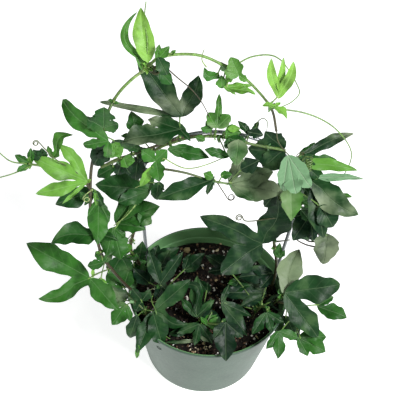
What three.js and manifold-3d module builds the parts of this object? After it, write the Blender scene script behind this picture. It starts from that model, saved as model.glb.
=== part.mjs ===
// A passion flower vine in a 160 mm nursery pot, trained over a wire hoop.
// Millimetres, +Z up. The origin is the centre of the pot's foot.

import * as THREE from 'three';
import { mergeVertices } from 'three/addons/utils/BufferGeometryUtils.js';
import Module from 'manifold-3d';

const wasm = await Module();
wasm.setup();

// ---------------------------------------------------------------- driving dimensions

const POT_HEIGHT = 102;
const POT_RIM_RADIUS = 80;
const POT_FOOT_RADIUS = 60;
const POT_WALL = 1.8;
const POT_FLOOR = 2.4;
const RIM_LIP = 1.4;
const RIM_LIP_HEIGHT = 3;
const INNER_LEDGE_Z = 90;
const INNER_LEDGE = 0.7;
const FOOT_CHAMFER = 3;
const POT_SIDES = 44;
const DRAIN_HOLES = 6;
const DRAIN_HOLE_RADIUS = 5;
const DRAIN_RING_RADIUS = 44;

const SOIL_TOP = 84;
const SOIL_LUMP = 1.6;
const SOIL_SIDES = 36;
const SOIL_RINGS = 4;
const GAP = 0.35;

const WIRE_RADIUS = 1.75;
const HOOP_TOP = 291;
const HOOP_SHOULDER = 222;
const HOOP_HALF_WIDTH = 74;
const HOOP_MIDDLE = 2;
const HOOP_BACK = 32;
const LEFT_LEG = [-63, 31];
const RIGHT_LEG = [66, 25];
const ROOT_DEPTH = 16;
const ROOT_LEAN = 0.94;

const BLADE = 1.0;
const LONG_LOBE = 30;
const TENDRIL_RADIUS = 0.5;
const PETIOLE_RADIUS = 0.8;
const PETIOLE_IN_BLADE = 2.5;
const SLIVER = 0.05;
const NOTCH = 0.3;
const FIRST_ROW = 0.22;
const LONG_ROWS = [0.45, 0.68, 0.87];
const SHORT_ROWS = [0.52, 0.82];
const LOBE_ROUNDNESS = 0.85;
const LOBE_BASE = 0.04;
const LEAF_FOLD = 0.25;
const LEAF_BOW = 0.07;
const TIP_RISE = 1.6;
const PETIOLE_HUMP = 0.12;

const POT_GREEN = new THREE.Color(0.33, 0.42, 0.36);
const SOIL_BROWN = new THREE.Color(0.045, 0.03, 0.02);
const WIRE_GREY = new THREE.Color(0.42, 0.43, 0.48);
const OLD_LEAF = new THREE.Color(0.03, 0.13, 0.05);
const MID_LEAF = new THREE.Color(0.06, 0.2, 0.06);

// ---------------------------------------------------------------- the leafy stems
//
// Every point is [x, y, z]. A stem is a smooth curve through its points. A leaf hangs on its
// stem at "at", counted in the stem's points, so 2.5 lies halfway from the third to the fourth.
// base is where its lobes meet, and tips are the ends of the lobes in turn, anticlockwise seen
// from the upper face. A tip may add its width against the leaf's and a sideways bow in mm.

const VINES = [
  {
    name: 'vine_arch',
    color: MID_LEAF,
    stems: {
      arch: {
        radius: 1.8,
        points: [
          [-63, -10, 64], [-66, -12, 90], [-82, -16, 118], [-102, -16, 156], [-108, -14, 180],
          [-113, -12, 213], [-113, -10, 245], [-111, -5, 276], [-104, 2, 323], [-91, 5, 348],
          [-76, 8, 368], [-63, 10, 382], [-49, 12, 389], [-34, 14, 390], [-18, 16, 384],
          [-3, 16, 376], [10, 16, 362], [33, 18, 341], [41, 18, 318], [46, 14, 304],
        ],
      },
      shoot: {
        radius: 1.2,
        points: [
          [-113, -10, 247], [-122, -16, 272], [-134, -20, 284], [-148, -24, 286],
          [-155, -26, 287], [-162, -28, 292],
        ],
      },
    },
    leaves: [
      { stem: 'arch', at: 2.6, base: [-115, -22, 130], wide: 0.19, tips: [[-179, 0, 150], [-163, -41, 114, 0.62], [-85, -46, 118]] },
      { stem: 'arch', at: 4.9, base: [-104, -8, 223], wide: 0.34, tips: [[-94, -20, 217, 0.8], [-105, -34, 201], [-116, -18, 218, 0.8]] },
      { stem: 'arch', at: 4.6, base: [-105, -22, 195], wide: 0.25, tips: [[-86, -24, 195], [-114, 4, 218], [-148, -31, 188]] },
      { stem: 'arch', at: 3.4, base: [-101, -20, 155], wide: 0.3, tips: [[-95, -12, 162], [-113, -13, 162], [-118, -21, 154]] },
      { stem: 'arch', at: 5.9, base: [-109, -4, 239], wide: 0.2, tips: [[-144, -16, 229], [-122, -15, 217], [-100, -14, 228]] },
      { stem: 'arch', at: 7.6, base: [-97, 4, 292], wide: 0.17, tips: [[-140, 29, 314], [-119, 4, 286], [-98, -2, 274]] },
      { stem: 'arch', at: 8.4, base: [-103, 16, 299], wide: 0.3, tips: [[-90, 18, 302], [-106, 29, 310], [-116, 20, 303]] },
      { stem: 'arch', at: 11, base: [-66, 7, 384], wide: 0.2, fold: 0.5, bow: 0.02, tips: [[-75, 42, 409], [-82, 37, 406, 0.5, 9]] },
      { stem: 'arch', at: 11.2, base: [-59, 6, 385], wide: 0.26, tips: [[-43, 8, 391, 0.8], [-50, 18, 397], [-61, 14, 394, 0.7]] },
      { stem: 'arch', at: 11.2, base: [-60, 14, 372], wide: 0.22, tips: [[-63, 10, 350], [-48, 14, 358]] },
      { stem: 'arch', at: 15.6, base: [5, 8, 379], wide: 0.34, tips: [[13, 4, 377], [-2, 16, 388], [-7, 6, 383]] },
      { stem: 'arch', at: 15, base: [-8, 8, 371], wide: 0.26, tips: [[-21, 14, 380], [-16, 4, 371]] },
      { stem: 'arch', at: 15.4, base: [-5, 6, 370], wide: 0.2, tips: [[7, 0, 365], [21, 6, 362], [16, 14, 367]] },
      { stem: 'arch', at: 17.3, base: [41, 20, 347], wide: 0.13, fold: 0.4, tips: [[51, 32, 378], [41, 37, 378], [31, 32, 380]] },
      { stem: 'arch', at: 17.2, base: [39, 12, 344], wide: 0.34, tips: [[52, 6, 340], [45, 20, 344], [28, 14, 344]] },
      { stem: 'shoot', at: 0.4, base: [-113, -16, 264], wide: 0.2, fold: 0.15, tips: [[-141, 6, 282], [-161, -5, 273], [-157, -27, 254], [-132, -31, 250, 0.8]] },
      { stem: 'shoot', at: 2.4, base: [-142, -14, 284], wide: 0.22, tips: [[-128, 2, 298, 1, 4], [-148, 1, 292], [-161, -8, 288]] },
      { stem: 'shoot', at: 4.8, base: [-159, -26, 289], wide: 0.22, tips: [[-160, -17, 299], [-173, -22, 294], [-170, -32, 285]] },
    ],
    tendrils: [
      [[-67, 9, 379], [-68, 20, 394], [-72, 33, 406], [-72, 42, 415]],
      [[-162, -28, 291], [-176, -26, 290], [-190, -20, 296], [-204, -18, 298]],
      [[-158, -28, 289], [-176, -32, 280], [-192, -36, 276], [-204, -36, 272]],
      [
        [33, 18, 341], [47, 20, 336], [61, 22, 333], [75, 22, 329], [89, 22, 321], [101, 22, 309], [111, 26, 290],
        [114, 30, 274], [113, 32, 259], [112, 34, 250],
      ],
      [
        [-3, 16, 376], [4, 22, 378], [15, 30, 380], [30, 38, 377], [39, 42, 370], [48, 46, 356], [55, 44, 346],
        [59, 38, 340], [53, 28, 338], [44, 20, 338],
      ],
    ],
  },
  {
    name: 'vine_hoop_left',
    color: OLD_LEAF,
    stems: {
      leader: {
        radius: 1.4,
        points: [
          [-61, 14, 64], [-64, 15, 90], [-72, 10, 121], [-80, 12, 137], [-77, 18, 163],
          [-75, 21, 194], [-75, 22, 225], [-72, 21, 250], [-64, 21, 266], [-51, 21, 279],
          [-30, 21, 284], [-8, 21, 285], [14, 21, 285], [34, 22, 283], [48, 24, 281],
        ],
      },
      band: { radius: 1.2, points: [[-69, 21, 256], [-79, 15, 267], [-89, 12, 270], [-101, 10, 268]] },
      cross: { radius: 1.1, points: [[-75, 22, 235], [-63, 12, 256], [-51, 8, 262], [-31, 8, 260], [-7, 9, 252], [8, 10, 249]] },
    },
    leaves: [
      { stem: 'leader', at: 3.4, base: [-78, 8, 116], wide: 0.26, tips: [[-68, -1, 102], [-56, 1, 112], [-64, 16, 116]] },
      { stem: 'leader', at: 5.2, base: [-94, -2, 187], wide: 0.34, tips: [[-82, -10, 183], [-84, -27, 171], [-98, -25, 172]] },
      { stem: 'leader', at: 5.2, base: [-84, 40, 196], wide: 0.24, tips: [[-72, 54, 190], [-92, 62, 200], [-106, 50, 188]] },
      { stem: 'leader', at: 4.8, base: [-93, 2, 188], wide: 0.26, tips: [[-64, 0, 186], [-53, 16, 202], [-76, 30, 196]] },
      { stem: 'leader', at: 5.8, base: [-62, 14, 226], wide: 0.25, tips: [[-68, 26, 243], [-113, 15, 225], [-90, 0, 220]] },
      { stem: 'leader', at: 8.2, base: [-77, 30, 276], wide: 0.22, tips: [[-66, 41, 276], [-84, 46, 292], [-91, 28, 278]] },
      { stem: 'leader', at: 9.2, base: [-40, 14, 306], wide: 0.17, tips: [[-71, 23, 302], [-84, -1, 294], [-28, 4, 304]] },
      { stem: 'leader', at: 9.6, base: [-38, 24, 311], wide: 0.19, tips: [[-27, 52, 335], [-79, 60, 342], [-114, 40, 308, 0.45]] },
      { stem: 'leader', at: 9.2, base: [-46, 12, 285], wide: 0.2, tips: [[-33, 8, 278], [-11, 12, 279], [-23, 18, 284]] },
      { stem: 'leader', at: 11, base: [-7, 16, 310], wide: 0.28, tips: [[1, 22, 315], [-8, 38, 331], [-16, 20, 315]] },
      { stem: 'leader', at: 11.4, base: [1, 18, 303], wide: 0.3, tips: [[5, 18, 295], [14, 20, 305], [6, 28, 306]] },
      { stem: 'leader', at: 11.8, base: [5, 12, 296], wide: 0.36, tips: [[1, 6, 286], [12, -3, 281], [22, 8, 288]] },
      { stem: 'leader', at: 11.2, base: [-3, 10, 291], wide: 0.3, tips: [[-15, 9, 290], [-9, 2, 285], [6, 4, 287]] },
      { stem: 'leader', at: 12.6, base: [23, 18, 304], wide: 0.24, tips: [[31, 20, 303], [28, 30, 309], [10, 28, 309]] },
      { stem: 'leader', at: 14, base: [55, 24, 284], wide: 0.32, tips: [[35, 27, 302], [20, 25, 281], [36, 17, 267]] },
      { stem: 'cross', at: 1.2, base: [-57, 2, 277], wide: 0.3, tips: [[-52, -10, 266], [-48, 10, 284], [-70, 8, 283]] },
      { stem: 'cross', at: 4, base: [-5, 8, 256], wide: 0.17, tips: [[-13, 17, 256], [-54, -6, 240], [-10, 3, 241]] },
      { stem: 'cross', at: 5, base: [7, 10, 246], wide: 0.26, tips: [[30, -4, 238, 0.8], [57, 8, 243], [28, 25, 254], [12, 32, 256, 0.8]] },
    ],
    tendrils: [],
  },
  {
    name: 'vine_hoop_right',
    color: OLD_LEAF,
    stems: {
      leader: {
        radius: 1.5,
        points: [
          [62, 14, 64], [64, 16, 90], [66, 19, 123], [59, 19, 162], [54, 19, 198], [55, 18, 227],
          [57, 16, 261], [58, 14, 284],
        ],
      },
    },
    leaves: [
      { stem: 'leader', at: 3.2, base: [46, 6, 174], wide: 0.2, tips: [[56, 38, 202], [-15, 21, 187], [11, -23, 156]] },
      { stem: 'leader', at: 4.8, base: [86, 8, 222], wide: 0.3, tips: [[70, 5, 218], [72, -12, 205], [90, -13, 208]] },
      { stem: 'leader', at: 5.4, base: [70, 42, 246], wide: 0.22, tips: [[98, 39, 236], [106, 52, 250], [84, 62, 260]] },
      { stem: 'leader', at: 4.2, base: [97, 10, 191], wide: 0.3, fold: 0.45, tips: [[117, 12, 190], [113, 3, 176], [103, -10, 173]] },
      { stem: 'leader', at: 5.9, base: [82, 8, 262], wide: 0.2, tips: [[96, -24, 226], [127, -9, 248], [127, 14, 266]] },
      { stem: 'leader', at: 6.2, base: [64, 8, 254], wide: 0.26, tips: [[55, 1, 244], [67, -13, 235], [73, 2, 245]] },
      { stem: 'leader', at: 6.6, base: [56, 2, 297], wide: 0.36, bow: 0.14, tips: [[47, -9, 283], [66, -29, 272], [80, -8, 284]] },
      { stem: 'leader', at: 6.7, base: [67, 14, 279], wide: 0.15, tips: [[90, 16, 266], [121, 14, 279], [95, 27, 279]] },
      { stem: 'leader', at: 6.8, base: [68, 18, 285], wide: 0.17, tips: [[104, 36, 278], [114, 42, 296], [86, 44, 290]] },
    ],
    tendrils: [],
  },
  {
    name: 'shoot_rim_left',
    color: MID_LEAF,
    stems: {
      main: { radius: 1.3, points: [[-54, -34, 64], [-56, -36, 88], [-60, -38, 108], [-70, -32, 114], [-80, -22, 112]] },
    },
    leaves: [
      { stem: 'main', at: 3.6, base: [-84, -14, 107], wide: 0.28, tips: [[-78, 0, 122], [-98, 2, 124], [-102, -15, 103]] },
      { stem: 'main', at: 3, base: [-78, -34, 110], wide: 0.24, tips: [[-72, -50, 98], [-90, -52, 98], [-94, -33, 104]] },
      { stem: 'main', at: 2, base: [-50, -44, 117], wide: 0.19, tips: [[-62, -80, 97], [-16, -50, 111, 0.8, -5], [-18, -19, 140]] },
    ],
    tendrils: [],
  },
  {
    name: 'shoot_back_left',
    color: OLD_LEAF,
    stems: {
      main: { radius: 1.2, points: [[-40, -4, 64], [-42, -6, 90], [-46, -14, 110], [-48, -18, 126]] },
    },
    leaves: [
      { stem: 'main', at: 3, base: [-48, -20, 130], wide: 0.19, tips: [[-13, -41, 116, 0.7, 14], [-29, 5, 150], [-61, 3, 149]] },
      { stem: 'main', at: 1.8, base: [-58, 10, 117], wide: 0.26, tips: [[-38, 9, 117], [-33, 26, 130], [-54, 29, 128]] },
      { stem: 'main', at: 1.6, base: [-26, 6, 120], wide: 0.24, tips: [[-10, 9, 126], [-7, 19, 134], [-21, 19, 131]] },
    ],
    tendrils: [],
  },
  {
    name: 'shoot_front',
    color: OLD_LEAF,
    stems: {
      main: { radius: 1.2, points: [[-4, -34, 64], [-4, -37, 88], [-3, -42, 104], [6, -50, 114], [16, -55, 123]] },
    },
    leaves: [
      { stem: 'main', at: 1.8, base: [-9, -40, 108], wide: 0.16, tips: [[7, -25, 119], [-12, -8, 132], [-26, -24, 116]] },
      { stem: 'main', at: 4, base: [19, -56, 128], wide: 0.24, tips: [[8, -68, 114], [23, -85, 106], [35, -64, 117]] },
      { stem: 'main', at: 2.4, base: [-3, -46, 108], wide: 0.26, tips: [[11, -38, 114], [12, -46, 106], [4, -52, 104]] },
      { stem: 'main', at: 2.2, base: [-5, -50, 112], wide: 0.2, tips: [[9, -66, 104], [-8, -66, 98], [-26, -58, 104]] },
      { stem: 'main', at: 2, base: [-2, -58, 97], wide: 0.2, fold: 0.35, tips: [[-24, -50, 99], [-39, -60, 97], [-12, -65, 91]] },
    ],
    tendrils: [],
  },
  {
    name: 'shoot_middle',
    color: OLD_LEAF,
    stems: {
      main: { radius: 1.3, points: [[46, -16, 64], [48, -18, 90], [54, -20, 108], [60, -28, 118]] },
    },
    leaves: [
      { stem: 'main', at: 1.9, base: [58, -8, 115], wide: 0.18, tips: [[29, 3, 119], [12, -11, 111], [33, -23, 108]] },
      { stem: 'main', at: 1.4, base: [14, -24, 115], wide: 0.17, tips: [[42, -48, 96], [45, -30, 104, 0.8], [20, -8, 123]] },
      { stem: 'main', at: 1.8, base: [62, 4, 132], wide: 0.24, tips: [[39, 6, 135], [29, -2, 128], [50, -12, 126]] },
      { stem: 'main', at: 1.6, base: [18, 5, 131], wide: 0.24, tips: [[6, 16, 139], [-6, 10, 142], [-2, -3, 133]] },
      { stem: 'main', at: 3, base: [58, -36, 122], wide: 0.2, tips: [[46, -53, 107], [65, -51, 110], [76, -42, 116]] },
    ],
    tendrils: [],
  },
  {
    name: 'shoot_rim_right',
    color: OLD_LEAF,
    stems: {
      main: { radius: 1.4, points: [[62, -6, 64], [64, -8, 90], [68, -14, 112], [72, -21, 132]] },
      side: { radius: 1.1, points: [[67, -12, 108], [78, -24, 120], [86, -36, 119], [90, -46, 110]] },
    },
    leaves: [
      { stem: 'main', at: 3, base: [74, -24, 137], wide: 0.2, tips: [[109, -52, 112], [126, -11, 146], [86, 16, 161]] },
      { stem: 'side', at: 1.4, base: [108, -22, 119], wide: 0.24, tips: [[120, -34, 108], [138, -29, 114], [124, -11, 126]] },
      { stem: 'side', at: 3, base: [91, -50, 105], wide: 0.28, tips: [[102, -63, 94], [119, -58, 97], [119, -44, 102]] },
      { stem: 'side', at: 1.9, base: [70, -60, 128], wide: 0.24, tips: [[58, -76, 118], [71, -82, 108], [89, -60, 120]] },
    ],
    tendrils: [],
  },
];

// ---------------------------------------------------------------- helpers

const vector = (point) => new THREE.Vector3(point[0], point[1], point[2]);
const curveThrough = (points) => new THREE.CatmullRomCurve3(points.map(vector), false, 'centripetal');

/** A closed three.js geometry as a manifold solid. */
function solid(geometry) {
  const bare = geometry.index ? geometry.toNonIndexed() : geometry.clone();
  bare.deleteAttribute('normal');
  bare.deleteAttribute('uv');
  const merged = mergeVertices(bare, 1e-4);
  return new wasm.Manifold(new wasm.Mesh({
    numProp: 3,
    vertProperties: new Float32Array(merged.attributes.position.array),
    triVerts: new Uint32Array(merged.index.array),
  }));
}

/** A manifold solid back as a three.js geometry. */
function geometryOf(body) {
  const mesh = body.getMesh();
  const geometry = new THREE.BufferGeometry();
  geometry.setAttribute('position', new THREE.BufferAttribute(mesh.vertProperties, 3));
  geometry.setIndex(new THREE.BufferAttribute(mesh.triVerts, 1));
  return geometry;
}

/** A round rod along a curve. */
function rod(curve, radius, steps, sides) {
  const section = new THREE.Shape();
  for (let side = 0; side < sides; side += 1) {
    const turn = (2 * Math.PI * side) / sides;
    const corner = new THREE.Vector2(radius * Math.cos(turn), radius * Math.sin(turn));
    if (side === 0) {
      section.moveTo(corner.x, corner.y);
    } else {
      section.lineTo(corner.x, corner.y);
    }
  }
  return new THREE.ExtrudeGeometry(section, { steps, extrudePath: curve });
}

/** A stem: five-sided, with two steps between each two of its points. */
const stemRod = (points, radius) => rod(curveThrough(points), radius, 2 * (points.length - 1), 5);

/** A solid turned about Z from [radius, z] points that close on themselves or on the axis. */
function turned(profile, sides) {
  const geometry = new THREE.LatheGeometry(profile.map(([r, z]) => new THREE.Vector2(r, z)), sides);
  return solid(geometry.rotateX(Math.PI / 2));
}

function standardMesh(name, body, color, roughness, metalness) {
  const material = new THREE.MeshStandardMaterial({ color, roughness, metalness });
  const mesh = new THREE.Mesh(geometryOf(body), material);
  mesh.name = name;
  return mesh;
}

// ---------------------------------------------------------------- pot

/** Inner radius of the pot's wall at a height. */
function innerRadius(z) {
  const outer = THREE.MathUtils.mapLinear(z, 0, POT_HEIGHT, POT_FOOT_RADIUS, POT_RIM_RADIUS - RIM_LIP);
  return outer - POT_WALL + (z > INNER_LEDGE_Z ? INNER_LEDGE : 0);
}

function potBody() {
  const lipZ = POT_HEIGHT - RIM_LIP_HEIGHT;
  const outerAtLip = THREE.MathUtils.mapLinear(lipZ, 0, POT_HEIGHT, POT_FOOT_RADIUS, POT_RIM_RADIUS - RIM_LIP);
  const profile = [
    [0, 0],
    [POT_FOOT_RADIUS - FOOT_CHAMFER, 0],
    [POT_FOOT_RADIUS - 0.6, 1],
    [POT_FOOT_RADIUS + 0.5, FOOT_CHAMFER],
    [outerAtLip, lipZ],
    [POT_RIM_RADIUS - 0.2, lipZ + 0.5],
    [POT_RIM_RADIUS, POT_HEIGHT - 1],
    [POT_RIM_RADIUS - 0.7, POT_HEIGHT],
    [innerRadius(POT_HEIGHT) + 0.3, POT_HEIGHT],
    [innerRadius(INNER_LEDGE_Z + 0.5), INNER_LEDGE_Z + 0.5],
    [innerRadius(INNER_LEDGE_Z), INNER_LEDGE_Z - 0.5],
    [innerRadius(POT_FLOOR), POT_FLOOR],
    [0, POT_FLOOR],
  ];
  let pot = turned(profile, POT_SIDES);
  for (let hole = 0; hole < DRAIN_HOLES; hole += 1) {
    const turn = (2 * Math.PI * (hole + 0.5)) / DRAIN_HOLES;
    const drill = new THREE.CylinderGeometry(DRAIN_HOLE_RADIUS, DRAIN_HOLE_RADIUS, 3 * POT_FLOOR, 12);
    drill.rotateX(Math.PI / 2);
    drill.translate(DRAIN_RING_RADIUS * Math.cos(turn), DRAIN_RING_RADIUS * Math.sin(turn), POT_FLOOR / 2);
    pot = pot.subtract(solid(drill));
  }
  return pot;
}

// ---------------------------------------------------------------- soil

/** Height of the soil's lumpy top: three crossed waves, fading towards the pot's wall. */
function soilHeight(x, y) {
  const lumps = Math.sin(x / 7 + 1) * Math.cos(y / 9) + 0.6 * Math.sin((x + y) / 5) + 0.4 * Math.cos((x - 2 * y) / 11);
  const fade = 1 - (Math.hypot(x, y) / innerRadius(SOIL_TOP)) ** 4;
  return SOIL_TOP + SOIL_LUMP * lumps * fade;
}

/** The hole that a stem or a wire leaves: the same rod, thicker by the gap, with a wider foot. */
function rootHole(fatRod, foot, radius) {
  const end = new THREE.OctahedronGeometry(2.1 * (radius + GAP));
  end.translate(...foot);
  return solid(fatRod).add(solid(end));
}

function soilBody() {
  const edge = innerRadius(SOIL_TOP) - GAP - 0.2;
  const foot = innerRadius(POT_FLOOR) - GAP - 0.2;
  const profile = [[0, POT_FLOOR + GAP], [foot, POT_FLOOR + GAP], [edge, SOIL_TOP]];
  for (let ring = SOIL_RINGS - 1; ring >= 0; ring -= 1) {
    profile.push([(edge * ring) / SOIL_RINGS, SOIL_TOP]);
  }
  const geometry = new THREE.LatheGeometry(profile.map(([r, z]) => new THREE.Vector2(r, z)), SOIL_SIDES);
  geometry.rotateX(Math.PI / 2);
  const position = geometry.attributes.position;
  for (let i = 0; i < position.count; i += 1) {
    if (position.getZ(i) > SOIL_TOP - 0.01) {
      position.setZ(i, soilHeight(position.getX(i), position.getY(i)));
    }
  }
  let soil = solid(geometry);
  for (const vine of VINES) {
    const { points, radius } = Object.values(vine.stems)[0];
    soil = soil.subtract(rootHole(stemRod(points, radius + GAP), points[0], radius));
  }
  for (const end of [hoopPoints().at(0), hoopPoints().at(-1)]) {
    soil = soil.subtract(rootHole(hoopRod(WIRE_RADIUS + GAP), end, WIRE_RADIUS));
  }
  return soil.simplify(SLIVER);
}

// ---------------------------------------------------------------- wire hoop

/** The points of the wire: pushed into the soil, up one leg, over the arch and down the other. */
function hoopPoints() {
  const leg = ([x, y]) => [[x * ROOT_LEAN, y * ROOT_LEAN, SOIL_TOP - ROOT_DEPTH], [x, y, SOIL_TOP + 4]];
  const [left, right] = [leg(LEFT_LEG), leg(RIGHT_LEG)];
  const points = [...left, [left[1][0] - 4, HOOP_BACK, 120]];
  for (let degrees = 180; degrees >= 0; degrees -= 15) {
    const turn = THREE.MathUtils.degToRad(degrees);
    const x = HOOP_MIDDLE + HOOP_HALF_WIDTH * Math.cos(turn);
    const z = HOOP_SHOULDER + (HOOP_TOP - HOOP_SHOULDER) * Math.sin(turn);
    points.push([x, HOOP_BACK, z]);
  }
  points.push([right[1][0] + 3, HOOP_BACK - 3, 120], right[1], right[0]);
  return points;
}

const hoopRod = (radius) => rod(curveThrough(hoopPoints()), radius, 36, 8);

// ---------------------------------------------------------------- leaves

/** Half-width of a lobe against its widest, from 0 at its base to 0 at its tip. */
const lobeOutline = (q) => Math.sin(Math.PI * Math.min(1, LOBE_BASE + (1 - LOBE_BASE) * q)) ** LOBE_ROUNDNESS;

/** The leaf's plane and, in it, the direction and length of each lobe. */
function leafFrame({ base, tips, wide }) {
  const origin = vector(base);
  const arms = tips.map((tip) => vector(tip).sub(origin));
  const normal = new THREE.Vector3();
  for (let i = 0; i + 1 < arms.length; i += 1) {
    normal.add(arms[i].clone().normalize().cross(arms[i + 1].clone().normalize()));
  }
  normal.normalize();
  const lobes = arms.map((arm, i) => {
    const rise = arm.dot(normal);
    const along = arm.clone().addScaledVector(normal, -rise);
    const length = along.length();
    along.normalize();
    const across = normal.clone().cross(along);
    return { rise, along, across, length, wide: wide * (tips[i][3] ?? 1), sway: tips[i][4] ?? 0 };
  });
  return { origin, normal, lobes };
}

/**
 * One lobed leaf as a closed blade. Each lobe is a strip along its own midrib: a long one has
 * three points across, a short one two. Neighbouring lobes share the point of the notch between
 * them, which lies on the line that halves their angle. The height above the leaf's plane is a
 * crease along each midrib, plus a rise to the tip that starts past the notch, plus a hump.
 */
function leafBody({ origin, normal, lobes }, fold = LEAF_FOLD, bow = LEAF_BOW) {
  // the notch between each pair of neighbours, as seen from either midrib
  const notches = [];
  for (let i = 0; i + 1 < lobes.length; i += 1) {
    const half = lobes[i].along.angleTo(lobes[i + 1].along) / 2;
    const [short, long] = [lobes[i].length, lobes[i + 1].length].sort((a, b) => a - b);
    const mean = 0.7 * short + 0.3 * long;
    const widest = mean * Math.min(lobes[i].wide, lobes[i + 1].wide);
    const reach = Math.min(NOTCH * mean, (0.9 * widest) / Math.sin(half));
    notches.push({ x: reach * Math.cos(half), y: reach * Math.sin(half) });
  }

  const surface = (lobe, x, y, start) => {
    const t = THREE.MathUtils.clamp((x - start) / (lobe.length - start), 0, 1);
    const sway = 4 * lobe.sway * t * (1 - t);
    const height = lobe.rise * t ** TIP_RISE + fold * Math.abs(y) + bow * lobe.length * 4 * t * (1 - t);
    return origin.clone()
      .addScaledVector(lobe.along, x)
      .addScaledVector(lobe.across, y + sway)
      .addScaledVector(normal, height);
  };

  const triangles = [];
  for (let i = 0; i < lobes.length; i += 1) {
    const lobe = lobes[i];
    const rightNotch = notches[i - 1];
    const leftNotch = notches[i];
    const side = { x: FIRST_ROW * lobe.length, y: lobe.wide * lobe.length * lobeOutline(FIRST_ROW) };
    const left = leftNotch ?? side;
    const right = rightNotch ?? side;
    const start = Math.max(left.x, right.x, 0);
    const long = lobe.length > LONG_LOBE;
    const row = (xRight, xLeft, yRight, yLeft) => {
      const edges = [surface(lobe, xRight, -yRight, start), surface(lobe, xLeft, yLeft, start)];
      return long ? [edges[0], surface(lobe, (xLeft + xRight) / 2, 0, start), edges[1]] : edges;
    };
    const rows = [row(right.x, left.x, right.y, left.y)];
    for (const q of long ? LONG_ROWS : SHORT_ROWS) {
      const x = start + ((lobe.length - start) * (q - FIRST_ROW)) / (1 - FIRST_ROW);
      const halfWidth = lobe.wide * lobe.length * lobeOutline(q);
      rows.push(row(x, x, halfWidth, halfWidth));
    }
    const tip = surface(lobe, lobe.length, 0, start);
    for (let c = 0; c + 1 < rows[0].length; c += 1) {
      triangles.push([origin, rows[0][c], rows[0][c + 1]]);
      for (let k = 0; k + 1 < rows.length; k += 1) {
        triangles.push([rows[k][c], rows[k + 1][c], rows[k + 1][c + 1]]);
        triangles.push([rows[k][c], rows[k + 1][c + 1], rows[k][c + 1]]);
      }
      triangles.push([rows.at(-1)[c], tip, rows.at(-1)[c + 1]]);
    }
  }
  return thickened(triangles, normal);
}

/** A sheet of triangles as a closed blade: its lower face is the upper one moved down. */
function thickened(triangles, normal) {
  const down = normal.clone().multiplyScalar(-BLADE);
  const key = (p) => `${p.x.toFixed(4)},${p.y.toFixed(4)},${p.z.toFixed(4)}`;
  const edges = new Map();
  const positions = [];
  const push = (...points) => points.forEach((p) => positions.push(p.x, p.y, p.z));
  for (const [a, b, c] of triangles) {
    push(a, b, c);
    push(a.clone().add(down), c.clone().add(down), b.clone().add(down));
    for (const [from, to] of [[a, b], [b, c], [c, a]]) {
      const back = `${key(to)}|${key(from)}`;
      if (edges.has(back)) {
        edges.delete(back);
      } else {
        edges.set(`${key(from)}|${key(to)}`, [from, to]);
      }
    }
  }
  for (const [from, to] of edges.values()) {
    const fromBelow = from.clone().add(down);
    const toBelow = to.clone().add(down);
    push(from, fromBelow, toBelow);
    push(from, toBelow, to);
  }
  const geometry = new THREE.BufferGeometry();
  geometry.setAttribute('position', new THREE.Float32BufferAttribute(positions, 3));
  return solid(geometry);
}

/** A leaf's stalk, from its stem up and over into the blade, under its middle lobe's midrib. */
function petioleBody(stemPoint, { origin, normal, lobes }) {
  const middleLobe = lobes[Math.floor(lobes.length / 2)];
  const end = origin.clone().addScaledVector(middleLobe.along, PETIOLE_IN_BLADE);
  end.addScaledVector(normal, -BLADE / 2);
  const middle = stemPoint.clone().lerp(end, 0.5);
  middle.z += PETIOLE_HUMP * stemPoint.distanceTo(end);
  return solid(rod(new THREE.QuadraticBezierCurve3(stemPoint, middle, end), PETIOLE_RADIUS, 2, 4));
}

// ---------------------------------------------------------------- vines

/** A leafy stem with its side stems, leaves and tendrils, joined in one body. */
function vineBody({ stems, leaves, tendrils }) {
  const curves = {};
  const pieces = [];
  for (const [name, stem] of Object.entries(stems)) {
    curves[name] = curveThrough(stem.points);
    pieces.push(solid(stemRod(stem.points, stem.radius)));
  }
  for (const leaf of leaves) {
    const reach = stems[leaf.stem].points.length - 1;
    const stemPoint = curves[leaf.stem].getPoint(Math.min(1, leaf.at / reach));
    const frame = leafFrame(leaf);
    pieces.push(leafBody(frame, leaf.fold, leaf.bow), petioleBody(stemPoint, frame));
  }
  for (const points of tendrils) {
    pieces.push(solid(rod(curveThrough(points), TENDRIL_RADIUS, Math.ceil(1.5 * points.length), 3)));
  }
  return wasm.Manifold.union(pieces).simplify(SLIVER);
}

// ---------------------------------------------------------------- the whole plant

const plant = new THREE.Group();
plant.add(standardMesh('pot', potBody(), POT_GREEN, 0.45, 0));
plant.add(standardMesh('soil', soilBody(), SOIL_BROWN, 0.95, 0));
plant.add(standardMesh('hoop', solid(hoopRod(WIRE_RADIUS)), WIRE_GREY, 0.5, 0.3));
for (const vine of VINES) {
  plant.add(standardMesh(vine.name, vineBody(vine), vine.color, 0.5, 0));
}

export default plant;
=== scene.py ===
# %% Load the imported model
import math

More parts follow.
